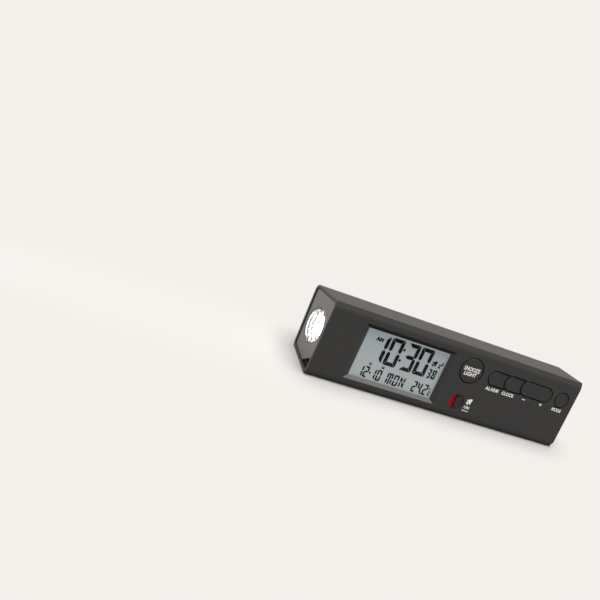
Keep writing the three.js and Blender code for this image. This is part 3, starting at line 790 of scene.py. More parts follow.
@dataclass(frozen=True)
class Finish:
    """A solid finish: moulded plastic, metal, rubber or print."""

    name: str
    low: Colour
    high: Colour
    roughness: Point
    grain: float = 3200.0
    relief: float = 0.012
    marks: float = 60.0
    metallic: float = 0.0
    ior: float = 1.46
    coat: float = 0.0
    dust: float = 0.0
    drawn: bool = False
    glow: Colour | None = None
    glow_strength: float = 0.0

    @cache
    def material(self) -> bpy.types.Material:
        """Builds the finish once, and keeps it."""
        made = bpy.data.materials.new(self.name)
        made.use_nodes = True
        tree = made.node_tree
        shader = tree.nodes["Principled BSDF"]
        constants = {
            "Metallic": self.metallic,
            "IOR": self.ior,
            "Coat Weight": self.coat,
            "Emission Strength": self.glow_strength,
        }
        for label, value in constants.items():
            shader.inputs[label].default_value = value
        if self.glow:
            shader.inputs["Emission Color"].default_value = (*self.glow, 1)
        effect = EFFECTS.drawn if self.drawn else EFFECTS.grain
        surface = placed(tree, effect, Size=self.grain)
        marks = placed(tree, EFFECTS.handling, Size=self.marks)
        tone = tree.nodes.new("ShaderNodeMix")
        tone.data_type = "RGBA"
        tone.inputs["A"].default_value = (*self.low, 1)
        tone.inputs["B"].default_value = (*self.high, 1)
        tree.links.new(surface.outputs[1], tone.inputs["Factor"])
        dusted = tree.nodes.new("ShaderNodeMix")
        dusted.data_type = "RGBA"
        dusted.inputs["B"].default_value = (*DUST, 1)
        tree.links.new(tone.outputs["Result"], dusted.inputs["A"])
        share = tree.nodes.new("ShaderNodeMath")
        share.operation = "MULTIPLY"
        share.inputs[1].default_value = self.dust
        tree.links.new(marks.outputs["Dust"], share.inputs[0])
        tree.links.new(share.outputs[0], dusted.inputs["Factor"])
        tree.links.new(dusted.outputs["Result"], shader.inputs["Base Color"])
        roughen(tree, shader, marks, self.roughness)
        bump = tree.nodes.new("ShaderNodeBump")
        bump.inputs["Distance"].default_value = self.relief * MM
        tree.links.new(surface.outputs["Height"], bump.inputs["Height"])
        tree.links.new(bump.outputs[0], shader.inputs["Normal"])
        return made


@dataclass(frozen=True)
class Clear:
    """A clear moulded or sheet plastic that lamps shine through."""

    name: str
    tint: Colour
    roughness: Point
    marks: float = 110.0
    ior: float = 1.49

    @cache
    def material(self) -> bpy.types.Material:
        """Builds the finish once, and keeps it."""
        made = bpy.data.materials.new(self.name)
        made.use_nodes = True
        tree = made.node_tree
        shader = tree.nodes["Principled BSDF"]
        shader.inputs["Base Color"].default_value = (*self.tint, 1)
        shader.inputs["Transmission Weight"].default_value = 1.0
        shader.inputs["IOR"].default_value = self.ior
        marks = placed(tree, EFFECTS.handling, Size=self.marks)
        roughen(tree, shader, marks, self.roughness)
        through = tree.nodes.new("ShaderNodeBsdfTransparent")
        through.inputs["Color"].default_value = (*self.tint, 1)
        path = tree.nodes.new("ShaderNodeLightPath")
        both = tree.nodes.new("ShaderNodeMixShader")
        tree.links.new(path.outputs["Is Shadow Ray"], both.inputs[0])
        tree.links.new(shader.outputs[0], both.inputs[1])
        tree.links.new(through.outputs[0], both.inputs[2])
        tree.links.new(both.outputs[0], tree.nodes["Material Output"].inputs["Surface"])
        return made


class Palette:
    """Every finish on the clock."""

    casing = Finish(
        "casing_plastic", (0.031, 0.0305, 0.030), (0.0415, 0.041, 0.0405), (0.5, 0.62), ior=1.34, dust=0.06
    )
    key = Finish(
        "key_plastic", (0.0285, 0.028, 0.0275), (0.038, 0.0375, 0.037), (0.48, 0.6), grain=3800.0, ior=1.34
    )
    tray = Finish("tray_plastic", (0.018, 0.018, 0.019), (0.026, 0.026, 0.027), (0.5, 0.6), dust=0.1)
    # Painted shade: the display frame's top wall is coloured near black to stand for the shadow under the
    # face's top edge.
    frame = Finish("frame_top_painted_shade", (0.008, 0.008, 0.008), (0.012, 0.012, 0.012), (0.55, 0.7), ior=1.2)
    # Painted highlight: the display's sill is coloured far paler than the casing to stand for the light
    # falling on the ledge.
    sill = Finish("sill_painted_highlight", (0.125, 0.125, 0.127), (0.16, 0.16, 0.163), (0.3, 0.42))
    red = Finish(
        "slide_red", (0.44, 0.002, 0.005), (0.52, 0.003, 0.007), (0.4, 0.5), relief=0.004, ior=1.15
    )
    ink = Finish("print_white", (0.88, 0.88, 0.88), (0.94, 0.94, 0.94), (0.4, 0.5), relief=0.004)
    pane = Clear("display_pane", (0.97, 0.98, 0.98), (0.02, 0.07), ior=1.2)
    lens = Clear("lamp_lens_clear", (0.97, 0.98, 0.98), (0.03, 0.08))
    # Painted light: the panel's glow is not a backlight; it fills in the shade that the recess casts
    # across the panel.
    display = Finish(
        "display_panel_painted_glow",
        (0.155, 0.174, 0.18),
        (0.174, 0.192, 0.198),
        (0.3, 0.36),
        relief=0.002,
        ior=1.3,
        glow=(0.85, 0.93, 0.95),
        glow_strength=0.24,
    )
    segment = Finish(
        "display_segment", (0.003, 0.003, 0.003), (0.005, 0.005, 0.005), (0.6, 0.7), relief=0.0, ior=1.1
    )
    silver = Finish(
        "satin_silver",
        (0.105, 0.101, 0.098),
        (0.145, 0.14, 0.135),
        (0.26, 0.38),
        grain=4200.0,
        metallic=0.65,
    )
    chrome = Finish(
        "reflector_chrome", (0.70, 0.70, 0.71), (0.80, 0.80, 0.81), (0.12, 0.2), relief=0.002, metallic=1.0
    )
    bead = Finish(
        "lamp_bead",
        (0.9, 0.92, 0.95),
        (0.95, 0.97, 1.0),
        (0.1, 0.2),
        relief=0.0,
        glow=(0.92, 0.96, 1.0),
        glow_strength=1.7,
    )
    board = Finish(
        "circuit_board", (0.014, 0.085, 0.032), (0.02, 0.11, 0.044), (0.3, 0.42), grain=1400.0, coat=0.3
    )
    guide = Finish("white_guide", (0.74, 0.75, 0.74), (0.82, 0.83, 0.82), (0.3, 0.4))
    carbon = Finish("carbon_strip", (0.012, 0.012, 0.013), (0.02, 0.02, 0.021), (0.7, 0.85), grain=1800.0)
    black = Finish("component_epoxy", (0.012, 0.012, 0.013), (0.02, 0.02, 0.022), (0.35, 0.5))
    can = Finish("component_sleeve", (0.028, 0.045, 0.07), (0.04, 0.06, 0.09), (0.25, 0.35), relief=0.003)
    steel = Finish(
        "plated_steel", (0.55, 0.54, 0.51), (0.68, 0.67, 0.64), (0.22, 0.36), metallic=1.0, drawn=True
    )
    screw = Finish("zinc_screw", (0.30, 0.30, 0.31), (0.42, 0.42, 0.43), (0.28, 0.42), metallic=1.0)
    sleeve = Finish(
        "sleeve_film", (0.02, 0.045, 0.075), (0.03, 0.06, 0.1), (0.2, 0.32), relief=0.003, coat=0.4
    )
    band = Finish(
        "cell_band", (0.46, 0.47, 0.47), (0.55, 0.56, 0.56), (0.2, 0.32), relief=0.003, metallic=0.4
    )


# ---- Pieces -------------------------------------------------------------------------------------
def piece(
    name: str,
    shape: bpy.types.Mesh,
    finish: Finish | Clear,
    body: str,
    stands_for: Sequence[str] = (),
    flat: bool = False,
) -> bpy.types.Object:
    """Finishes a shape as a piece of the clock.

    Args:
        name: The piece's name.
        shape: Its mesh in mm on the drawing board.
        finish: What it is made of.
        body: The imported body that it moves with.
        stands_for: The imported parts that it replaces.
        flat: Whether its faces are left unsmoothed, as facets are.

    Returns:
        The new object, at the origin with its place in its mesh.
    """
    shape.transform(FACE.to_row)
    shape.materials.clear()
    shape.materials.append(finish.material())
    shape.polygons.foreach_set("use_smooth", [not flat] * len(shape.polygons))
    if not flat:
        shape.set_sharp_from_angle(angle=SHARP)
        bench = held(shape)
        weigh = bench.modifiers.new("weigh", "WEIGHTED_NORMAL")
        weigh.keep_sharp = True
        shape = settled(bench)
    shape.name = name
    made = bpy.data.objects.new(name, shape)
    bpy.context.scene.collection.objects.link(made)
    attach(made, body)
    if stands_for:
        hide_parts(*stands_for)
    LOG.info("%s: %d faces on %s", name, len(shape.polygons), body)
    return made


def dress(finish: Finish, *nodes: str) -> None:
    """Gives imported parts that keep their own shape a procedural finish."""
    for node in nodes:
        for slot in frame["nodes"][node].material_slots:
            slot.material = finish.material()
        LOG.info("%s: dressed as %s", node, finish.name)


class Ink:
    """Printing: lettering and marks as thin raised meshes."""

    @staticmethod
    def letters(
        words: str, centre: Point, size: Point, depth: Point, weight: float
    ) -> bpy.types.Mesh:
        """Lettering in the built-in typeface, fitted to a box.

        Args:
            words: What is printed.
            centre: The middle of the lettering on the face.
            size: Its width and height.
            depth: Its front and back, as depths into the casing.
            weight: How much the strokes are thickened, against a letter one high.

        Returns:
            The closed mesh.
        """
        type_curve = bpy.data.curves.new("lettering", "FONT")
        type_curve.body = words
        type_curve.offset = weight
        type_curve.extrude = 0.5
        type_curve.resolution_u = 5
        type_curve.space_character = 1.06
        made = settled(held(type_curve))
        bpy.data.curves.remove(type_curve)
        spans = [[v.co[i] for v in made.vertices] for i in range(3)]
        lows, highs = [min(s) for s in spans], [max(s) for s in spans]
        middle = Vector([(a + b) / 2 for a, b in zip(lows, highs)])
        fit = Matrix.Diagonal(
            (size[0] / (highs[0] - lows[0]), size[1] / (highs[1] - lows[1]), depth[1] - depth[0], 1)
        )
        stand = Matrix.Rotation(math.pi / 2, 4, "X")
        place = Matrix.Translation((centre[0], (depth[0] + depth[1]) / 2, centre[1]))
        made.transform(place @ stand @ fit @ Matrix.Translation(-middle))
        work = bmesh.new()
        work.from_mesh(made)
        bpy.data.meshes.remove(made)
        return finished(work)

    @staticmethod
    def shape(outline: Sequence[Point], depth: Point) -> bpy.types.Mesh:
        """A printed shape with the given outline."""
        return loft([[Vector((x, y, z)) for x, z in outline] for y in depth])

    @staticmethod
    def bar(left: float, right: float, foot: float, top: float, depth: Point) -> bpy.types.Mesh:
        """A printed bar."""
        return Ink.shape([(left, foot), (right, foot), (right, top), (left, top)], depth)

    @staticmethod
    def bell(centre: Point, size: float, tilt: float, depth: Point) -> bpy.types.Mesh:
        """An alarm bell with its clapper, tipped as if it rang.

        Args:
            centre: Its middle on the face.
            size: Its height.
            tilt: How far it is tipped, in degrees.
            depth: Its front and back.

        Returns:
            The mesh, of a dome and a clapper.
        """
        turns = [math.pi * i / 10 for i in range(11)]
        dome = [(0.22 * math.cos(a), 0.28 + 0.22 * math.sin(a)) for a in turns]
        skirt = [(-0.36, 0.0), (-0.52, -0.18), (0.52, -0.18), (0.36, 0.0)]
        clapper = [(0.26 * math.cos(2 * a), -0.37 + 0.13 * math.sin(2 * a)) for a in turns[:-1]]
        cos, sin = math.cos(math.radians(tilt)), math.sin(math.radians(tilt))

        def tipped(outline: Sequence[Point]) -> list[Point]:
            """The outline turned, sized and carried to its place."""
            return [
                (centre[0] + size * (u * cos - v * sin), centre[1] + size * (u * sin + v * cos))
                for u, v in outline
            ]

        return merged([Ink.shape(tipped(dome + skirt), depth), Ink.shape(tipped(clapper), depth)])


@dataclass
class Casing:
    """The moulded body: a bar with a leaning face, open at the lamp end and behind."""

    end_round: float = 0.25
    tail_round: float = 0.7
    lip_round: float = 0.2
    face_wall: float = 2.0
    side_wall: float = 1.8
    mouth_wall: float = 1.2
    mouth_depth: float = 2.4
    end_wall: float = 2.0
    head_ring: float = 14.0
    seat: float = 2.1
    gap: float = 0.35
    slack: float = 0.02
    play: float = 0.3
    key_bore: float = 4.0
    torch_flange: float = 1.0
    torch_bore: float = 4.0
    boss_start: float = 1.5
    boss_below: float = 2.4
    cover_boss: float = 1.9
    tray_boss: float = 1.45
    pane_back: float = 3.0
    recess_rim: float = 0.45
    recess_depth: float = 1.0
    recess_ease: float = 0.12
    pocket_reach: Point = (4.0, 8.2)
    pocket_half: float = 4.6
    pocket_back: float = 1.75
    pocket_floor: float = 0.85
    pocket_wall: float = 0.9
    slot: Point = (80.3, 84.5)
    slot_half: float = 1.2
    length: float = field(init=False)

    def __post_init__(self) -> None:
        """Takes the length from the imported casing."""
        self.length = FACE.box("front_shell").x[1]

    def window(self, trim: "WindowFrame") -> list[bpy.types.Mesh]:
        """Cutters for the frame's sloping seat, the display's opening and the pane's seat behind."""
        front = trim.corners(-0.5, 0.0, self.slack)
        step = trim.corners(trim.wall + 0.06, 0.0, self.slack)
        back = trim.corners(trim.depth + 0.2, 1.0, self.slack)
        low, high = trim.corners(0, 1.0)[0], trim.corners(0, 1.0)[2]
        pane = FACE.box("display_window")
        hole = Bounds((low.x, high.x), (trim.depth - 0.2, self.pane_back), (low.z, high.z))
        rebate = Bounds(
            (pane.x[0] - self.play, pane.x[1] + self.play),
            (trim.depth + 0.2, self.pane_back),
            (pane.z[0] - self.play, pane.z[1] + self.play),
        )
        return [loft([front, step, back]), block(hole), block(rebate)]

    def shell(self, keys: Sequence[Outline], trim: "WindowFrame") -> bpy.types.Mesh:
        """The casing's shape.

        Args:
            keys: The outlines of the keys that come through the face.
            trim: The frame that lines the display's opening.

        Returns:
            The closed mesh.
        """
        front, back = eased(0, self.end_round), eased(self.length, self.tail_round, -1)
        body = SECTION.solid([*front, *reversed(back)])
        far_wall = (self.length - self.end_wall, self.side_wall)
        cavity = SECTION.solid([(-1, self.side_wall), far_wall], self.face_wall)
        cutters = [cavity, self.mouth(), self.back_opening(), *self.window(trim), self.torch_hole()]
        shell = carve(body, [*cutters, *[key.opening(self.key_bore) for key in keys]])
        return self.slide_pocket(shell)

    def mouth(self) -> bpy.types.Mesh:
        """A cutter for the lamp end, with a softly rounded lip."""
        lip = [(x, self.mouth_wall - ease) for x, ease in eased(0, self.lip_round)]
        start, end = (-1, self.mouth_wall - self.lip_round), (self.mouth_depth, self.mouth_wall)
        return SECTION.solid([start, *lip, end])

    def back_opening(self) -> bpy.types.Mesh:
        """A cutter for the opening that the rear cover and the battery door fill."""
        cover = FACE.box("rear_cover")
        low, high = cover.z[0] - self.play, cover.z[1] + self.play
        opening = Panel(self.head_ring, self.length + 3, low, high, 0.3)
        return SECTION.back_slab(opening, [(-1, 0), (self.seat, 0)])

    def torch_hole(self) -> bpy.types.Mesh:
        """A cutter for the torch button's hole in the tail."""
        tail = FACE.box("torch_button")
        radius = tail.size.z / 2 - self.torch_flange + self.gap
        flare = [(radius + ease, x) for x, ease in eased(self.length, self.lip_round, -1)]
        profile = [(0, self.length + 1), (radius + self.lip_round, self.length + 1), *flare]
        profile += [(radius, self.length - self.torch_bore), (0, self.length - self.torch_bore)]
        return lathe(profile, tail.middle.y, tail.middle.z)

    def slide_pocket(self, shell: bpy.types.Mesh) -> bpy.types.Mesh:
        """Adds the screw posts and the alarm slide's pocket behind the face.

        Args:
            shell: The casing so far.

        Returns:
            The casing with both.
        """
        knob, wall = self.recess(), self.pocket_wall
        near, far = knob.x - self.pocket_reach[0], knob.x + self.pocket_reach[1]
        low, high = knob.z - self.pocket_half, knob.z + self.pocket_half
        depths = (self.face_wall - 0.5, self.pocket_back + self.pocket_floor)
        seat = block(Bounds((near - wall, far + wall), depths, (low - wall, high + wall)), 0.2)
        shell = carve(shell, [seat, *self.bosses()], Cut.ONTO)
        pocket = block(Bounds((near, far), (self.recess_rim, self.pocket_back), (low, high)))
        heights = (knob.z - self.slot_half, knob.z + self.slot_half)
        slot = block(Bounds(self.slot, (1, 4), heights))
        return carve(shell, [pocket, knob.opening(self.recess_depth, self.recess_ease), slot])

    def recess(self) -> Disc:
        """The round recess that the alarm slide runs in."""
        flag = FACE.box("alarm_flag")
        radius = flag.size.z / 2 + self.play
        return Disc(flag.x[0] - self.play + radius, flag.middle.z, radius)

    def bosses(self) -> list[bpy.types.Mesh]:
        """Posts behind the face that the rear cover's and the tray's screws bite into."""
        posts = []
        for number in range(1, 5):
            screw = FACE.box(f"cover_screw_{number}").middle
            end = SECTION.back(screw.z, self.boss_below)[0]
            post = Disc(screw.x, screw.z, self.cover_boss, 32)
            posts.append(post.solid([(self.boss_start, 0), (end, 0)]))
        for number in (1, 2):
            screw = FACE.box(f"tray_screw_{number}").middle
            end = FACE.box("main_board").y[0] - self.play
            post = Disc(screw.x, screw.z, self.tray_boss, 24)
            posts.append(post.solid([(self.boss_start, 0), (end, 0)]))
        return posts

    def build(self, keys: Sequence[Outline], trim: "WindowFrame") -> None:
        """Builds the casing."""
        shape = self.shell(keys, trim)
        piece("casing_shell", shape, Palette.casing, "casing", ["front_shell"])


@dataclass
class WindowFrame:
    """The frame that slopes in to the display, painted black above as shade and with a sill painted paler
    at its foot as light falling on it.
    """

    left: float = 18.3
    right: float = 68.8
    foot: float = 3.9
    top: float = 31.0
    across: float = 2.4
    up: float = 1.8
    depth: float = 1.0
    wall: float = 0.3
    front: float = 0.02

    def corners(self, depth: float, share: float, grow: float = 0.0) -> Ring:
        """The frame's four corners, anticlockwise from the lower left.

        Args:
            depth: How far into the casing.
            share: How far down the slope, from 0 at the face to 1 at the display.
            grow: How much larger the rectangle is.

        Returns:
            The corners.
        """
        west, east = self.left + self.across * share - grow, self.right - self.across * share + grow
        low, high = self.foot + self.up * share - grow, self.top - self.up * share + grow
        return [Vector((x, depth, z)) for x, z in ((west, low), (east, low), (east, high), (west, high))]

    def build(self) -> None:
        """Builds the sill and the other three walls, mitred at their corners."""
        loops = [
            self.corners(self.front, 0.0),
            self.corners(self.depth, 1.0),
            self.corners(self.depth + 0.15, 1.0),
            self.corners(self.front + self.wall, 0.0),
        ]
        mitres = [[ring[i % 4] for ring in loops] for i in range(5)]
        bars = [loft(list(pair)) for pair in pairwise(mitres)]
        # Painted highlight: the sill's pale colour stands for light falling on the ledge.
        piece("display_sill", bars[0], Palette.sill, "casing")
        # Painted shade: the top wall is coloured near black for the shadow in the recess.
        piece("display_frame_top", bars[2], Palette.frame, "casing")
        sides = merged([bars[1], bars[3]])
        piece("display_frame_sides", sides, Palette.casing, "casing")


@dataclass
class Keys:
    """The keys on the face: a round one, two scooped crescents, a long rocker and a small round one."""

    edge: float = 0.36
    slot: float = 0.54
    flange_front: float = 2.3
    flange_back: float = 3.1
    round_lip: float = 0.7
    drawn_in: float = 0.35
    crescent_lip: float = 0.12
    slope: float = 2.6
    gap: float = 0.35
    dish: float = 0.08
    dish_steps: int = 5
    hub: Point = (1.2, 3.3)
    hub_start: float = 3.0
    outlines: dict[str, Outline] = field(init=False)

    def __post_init__(self) -> None:
        """Reads each key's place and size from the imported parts."""
        rocker = FACE.box("minus_plus_rocker", 0.5)
        radius = rocker.size.z / 2
        row = rocker.middle.z
        first = rocker.x[0] + radius
        clock_x = FACE.box("clock_button", 0.2).x[0] + radius
        alarm_x = FACE.box("alarm_button", 0.2).x[0] + radius
        hollow = radius + self.gap
        self.outlines = {
            "snooze_button": self.disc("snooze_button"),
            "alarm_button": Crescent(alarm_x, clock_x, row, radius, hollow),
            "clock_button": Crescent(clock_x, first, row, radius, hollow),
            "minus_plus_rocker": Stadium(first, rocker.x[1] - radius, row, radius),
            "mode_button": self.disc("mode_button"),
        }

    @staticmethod
    def disc(node: str) -> Disc:
        """A round key's outline."""
        cap = FACE.box(node, 0.5)
        return Disc(cap.middle.x, cap.middle.z, cap.size.z / 2)

    def openings(self) -> list[Outline]:
        """The holes in the face, each larger than its key by the gap."""
        grown: list[Outline] = []
        for outline in self.outlines.values():
            match outline:
                case Disc():
                    grown.append(Disc(outline.x, outline.z, outline.radius + self.slot))
                case Stadium():
                    wide = outline.radius + self.slot
                    grown.append(Stadium(outline.left, outline.right, outline.z, wide))
                case Crescent():
                    wide, bite = outline.radius + self.slot, outline.hollow - self.slot
                    grown.append(Crescent(outline.x, outline.next_x, outline.z, wide, bite))
        return grown

    def round_key(self, node: str) -> bpy.types.Mesh:
        """A round key with a softened rim and a slightly dished top."""
        outline = self.outlines[node]
        inner = outline.radius - self.edge
        steps = [inner * i / self.dish_steps for i in range(self.dish_steps)]
        bowl = [(self.dish * (1 - (r / inner) ** 2), r - outline.radius) for r in steps]
        centre = (bowl[0][0], -outline.radius + 0.01)
        return outline.solid([centre, *bowl[1:], *self.rim(), *self.flange(self.round_lip)])

    def rim(self) -> list[Point]:
        """The layers of a key's softened edge."""
        return [(depth, -ease) for depth, ease in eased(0, self.edge)]

    def flange(self, lip: float) -> list[Point]:
        """The layers of the flange that keeps a key behind the face."""
        return [(self.flange_front, 0), (self.flange_front, lip), (self.flange_back, lip)]

    def scooped_key(self, node: str) -> bpy.types.Mesh:
        """A crescent key whose top slopes into the casing from its round end."""
        outline = self.outlines[node]
        layers = [*self.rim(), *self.flange(self.crescent_lip)]
        start = outline.x - outline.radius
        return outline.solid(layers, (math.tan(math.radians(self.slope)), start))

    def rocker(self) -> bpy.types.Mesh:
        """The long key, which tips about its middle, with its hub behind."""
        outline = self.outlines["minus_plus_rocker"]
        whole = FACE.box("minus_plus_rocker")
        layers = [*self.rim(), (1.9, 0), (self.flange_front, -self.drawn_in), (3.2, -self.drawn_in)]
        across, up = self.hub
        middle = whole.middle.x
        hub = Bounds(
            (middle - across, middle + across),
            (self.hub_start, whole.y[1]),
            (outline.z - up, outline.z + up),
        )
        return carve(outline.solid(layers), [block(hub, 0.2)], Cut.ONTO)

    def build(self) -> None:
        """Builds the keys."""
        for node in ("snooze_button", "mode_button"):
            piece(f"{node}_cap", self.round_key(node), Palette.key, node, [node])
        for node in ("alarm_button", "clock_button"):
            piece(f"{node}_cap", self.scooped_key(node), Palette.key, node, [node])
        piece("rocker_cap", self.rocker(), Palette.key, "rocker", ["minus_plus_rocker"])


@dataclass
class AlarmSlide:
    """The alarm's slide: a ribbed grip on a plate that runs behind the face and uncovers a red flag."""

    travel: float = 3.0
    play: float = 0.25
    edge: float = 0.25
    ribs: int = 4
    rib_centre: float = 2.15
    rib_pitch: float = 0.85
    rib_half: float = 0.16
    rib_reach: float = 2.2
    rib_depth: float = 0.22
    plate_start: float = -0.6
    plate_end: float = 7.7
    plate_half: float = 4.3
    plate_depth: Point = (0.56, 0.96)
    flag_depth: Point = (1.08, 1.5)
    stem: Point = (3.0, 3.6)
    stem_start: float = 0.8
    stem_half: float = 0.9
    flag_reach: Point = (-3.85, -0.55)
    flag_half: float = 4.45
    beyond: float = 9.0

    def grip(self, recess: Disc, recipes: Recipes) -> bpy.types.Mesh:
        """The grip, its plate and the stem that works the switch.

        Args:
            recess: The round opening that they show in.
            recipes: The trees for the ribs.

        Returns:
            The closed mesh.
        """
        whole = FACE.box("alarm_slider")
        front = whole.y[0]
        x, z = recess.x, recess.z
        outline = Almond(x, z, recess.radius - self.play, self.travel)
        edge = [(front + depth, -ease) for depth, ease in eased(0, self.edge)]
        knob = outline.solid([*edge, (self.plate_depth[1] - 0.05, 0)])
        begin, far = x + self.plate_start, self.beyond
        keep = block(Bounds((begin, x + far), (-1, 4), (z - far, z + far)))
        heights = (z - self.plate_half, z + self.plate_half)
        plate = block(Bounds((begin, x + self.plate_end), self.plate_depth, heights), 0.08)
        span = (x + self.stem[0], x + self.stem[1])
        heights = (z - self.stem_half, z + self.stem_half)
        rod = block(Bounds(span, (self.stem_start, whole.y[1]), heights), 0.1)
        start = x + self.rib_centre - self.rib_pitch * (self.ribs - 1) / 2
        sides = (start - self.rib_half, start + self.rib_half)
        reach = (z - self.rib_reach, z + self.rib_reach)
        groove = block(Bounds(sides, (front - 0.5, front + self.rib_depth), reach), 0.06)
        step = (self.rib_pitch, 0, 0)
        grooves = recipes.row.cook(groove, Palette.key.material(), Count=self.ribs, Step=step)
        knob = carve(carve(knob, [keep], Cut.SHARED), [plate, rod], Cut.ONTO)
        return carve(knob, [grooves])

    def build(self, recess: Disc, recipes: Recipes) -> None:
        """Builds the grip and the flag.

        Args:
            recess: The round opening that they show in.
            recipes: The trees for the ribs.
        """
        knob = self.grip(recess, recipes)
        piece("alarm_slide_grip", knob, Palette.key, "alarm_slider", ["alarm_slider"])
        near, far = recess.x + self.flag_reach[0], recess.x + self.flag_reach[1]
        flag = Panel(near, far, recess.z - self.flag_half, recess.z + self.flag_half)
        front, back = self.flag_depth
        layers = [*[(front + depth, -ease) for depth, ease in eased(0, 0.1)], (back, 0)]
        piece("alarm_on_flag", flag.solid(layers), Palette.red, "casing", ["alarm_flag"])


@dataclass
class Display:
    """The display: a clear pane, the panel behind it and its dark segments."""

    big_stroke: float = 1.88
    small_stroke: float = 0.84
    weight: float = 0.085
    raised: float = 0.03

    @staticmethod
    def stroke(letter: str, box: tuple[float, float, float, float], width: float) -> list[Point]:
        """One stroke's outline, mitred to its neighbours.

        Args:
            letter: Which stroke.
            box: Left, right, foot and top of the character.
            width: The stroke's width.

        Returns:
            The outline.
        """
        x0, x1, z0, z1 = box
        half, gap, cut = width / 2, width * 0.035, width * 0.3
        middle, centre = (z0 + z1) / 2, (x0 + x1) / 2
        inner, outer = x1 - width, x1 - cut / 2
        match letter:
            case "a" | "d":
                low = z1 - width
                west, east = x0 + gap, x1 - gap
                shape = [(west + cut, z1), (east - cut, z1), (east - cut / 2, z1 - cut / 2)]
                shape += [(east - width, low), (west + width, low), (west + cut / 2, z1 - cut / 2)]
            case "b" | "c" | "e" | "f":
                tip = middle + half + gap
                shape = [(x1, z1 - cut - gap), (x1, tip), (x1 - half, middle + gap), (inner, tip)]
                shape += [(inner, z1 - width - gap), (outer, z1 - cut / 2 - gap)]
            case "g":
                west, east = x0 + width, inner - gap
                shape = [(x0 + half * 0.6, middle), (west, middle + half), (east, middle + half)]
                shape += [(east + half * 0.8, middle), (east, middle - half), (west, middle - half)]
            case "m":
                foot, high = z0 + gap, z1 - width - gap
                west, east = centre - half, centre + half
                shape = [(west, foot), (east, foot), (east, high), (west, high)]
            case _:
                west, east, drop = x0 + width + gap, inner - gap, width * 1.9
                shape = [(west, z1 - cut), (west, z1 - cut - drop)]
                shape += [(east, z0 + cut), (east, z0 + cut + drop)]
        across, down = letter in "ef", letter in "cde"
        return [(x0 + x1 - x if across else x, z0 + z1 - z if down else z) for x, z in shape]

    def row(
        self,
        digits: Sequence[tuple[Digit, float, float]],
        heights: Point,
        width: float,
        depth: Point,
    ) -> list[bpy.types.Mesh]:
        """A row of characters.

        Args:
            digits: Each character with its left and right edge.
            heights: The row's foot and top.
            width: A stroke's width.
            depth: Front and back of the strokes.

        Returns:
            A mesh for each stroke.
        """
        return [
            Ink.shape(self.stroke(letter, (left, right, *heights), width), depth)
            for digit, left, right in digits
            for letter in digit.value
        ]

    def marks(self, depth: Point) -> list[bpy.types.Mesh]:
        """Everything that the display shows: the time, the seconds, the date and the temperature."""
        time = [
            (Digit.ONE, 30, 34.35),
            (Digit.ZERO, 35.2, 42.2),
            (Digit.THREE, 44.4, 51.0),
            (Digit.ZERO, 51.8, 58.8),
        ]
        marks = self.row(time, (14.4, 28.1), self.big_stroke, depth)
        seconds = [(Digit.THREE, 59.8, 61.95), (Digit.EIGHT, 62.5, 64.7)]
        marks += self.row(seconds, (14.6, 19.3), self.small_stroke, depth)
        date = [
            (Digit.ONE, 26, 27.85),
            (Digit.TWO, 28.2, 30.7),
            (Digit.ONE, 33, 34.7),
            (Digit.ZERO, 35.2, 37.7),
        ]
        day = [(Digit.LETTER_M, 40.7, 44.0), (Digit.ZERO, 44.6, 47.3), (Digit.LETTER_N, 48.1, 50.8)]
        warmth = [(Digit.TWO, 55.3, 57.8), (Digit.FOUR, 58.3, 60.7), (Digit.TWO, 61.6, 64.1)]
        marks += self.row(date + day + warmth, (6.1, 11.6), self.small_stroke, depth)
        for x, z, radius in ((43.1, 23.9, 0.66), (43.1, 18.6, 0.66), (61.15, 6.5, 0.4), (31.5, 8.85, 0.5)):
            marks.append(Disc(x, z, radius, 20).solid([(depth[0], 0), (depth[1], 0)]))
        for words, x, z, wide, high in (
            ("AM", 28.9, 25.2, 4.0, 1.9),
            ("D", 29.9, 12.95, 1.2, 1.4),
            ("M", 36.8, 12.9, 1.5, 1.2),
            ("C", 65.35, 7.6, 1.1, 2.5),
            ("O", 65.0, 9.9, 0.9, 1.0),
            ("Z", 64.4, 21.65, 1.7, 1.9),
            ("Z", 65.6, 22.9, 1.4, 1.5),
        ):
            marks.append(Ink.letters(words, (x, z), (wide, high), depth, self.weight))
        marks.append(Ink.bell((61.4, 22.2), 3.2, -38, depth))
        return marks

    def build(self) -> None:
        """Builds the pane, the panel and its segments."""
        pane = FACE.box("display_window")
        sheet = Panel(pane.x[0], pane.x[1], pane.z[0], pane.z[1], 0.8)
        layers = [*[(pane.y[0] + d, -e) for d, e in eased(0, 0.15)], (pane.y[1], 0)]
        piece("display_pane", sheet.solid(layers), Palette.pane, "casing", ["display_window"])
        panel = FACE.box("lcd_panel")
        # The panel's glow is painted light that evens out the recess's shade.
        piece("display_glass", block(panel, 0.12), Palette.display, "casing", ["lcd_panel"])
        marks = self.marks((panel.y[0] - self.raised, panel.y[0] + 0.01))
        piece("display_segments", merged(marks), Palette.segment, "casing")


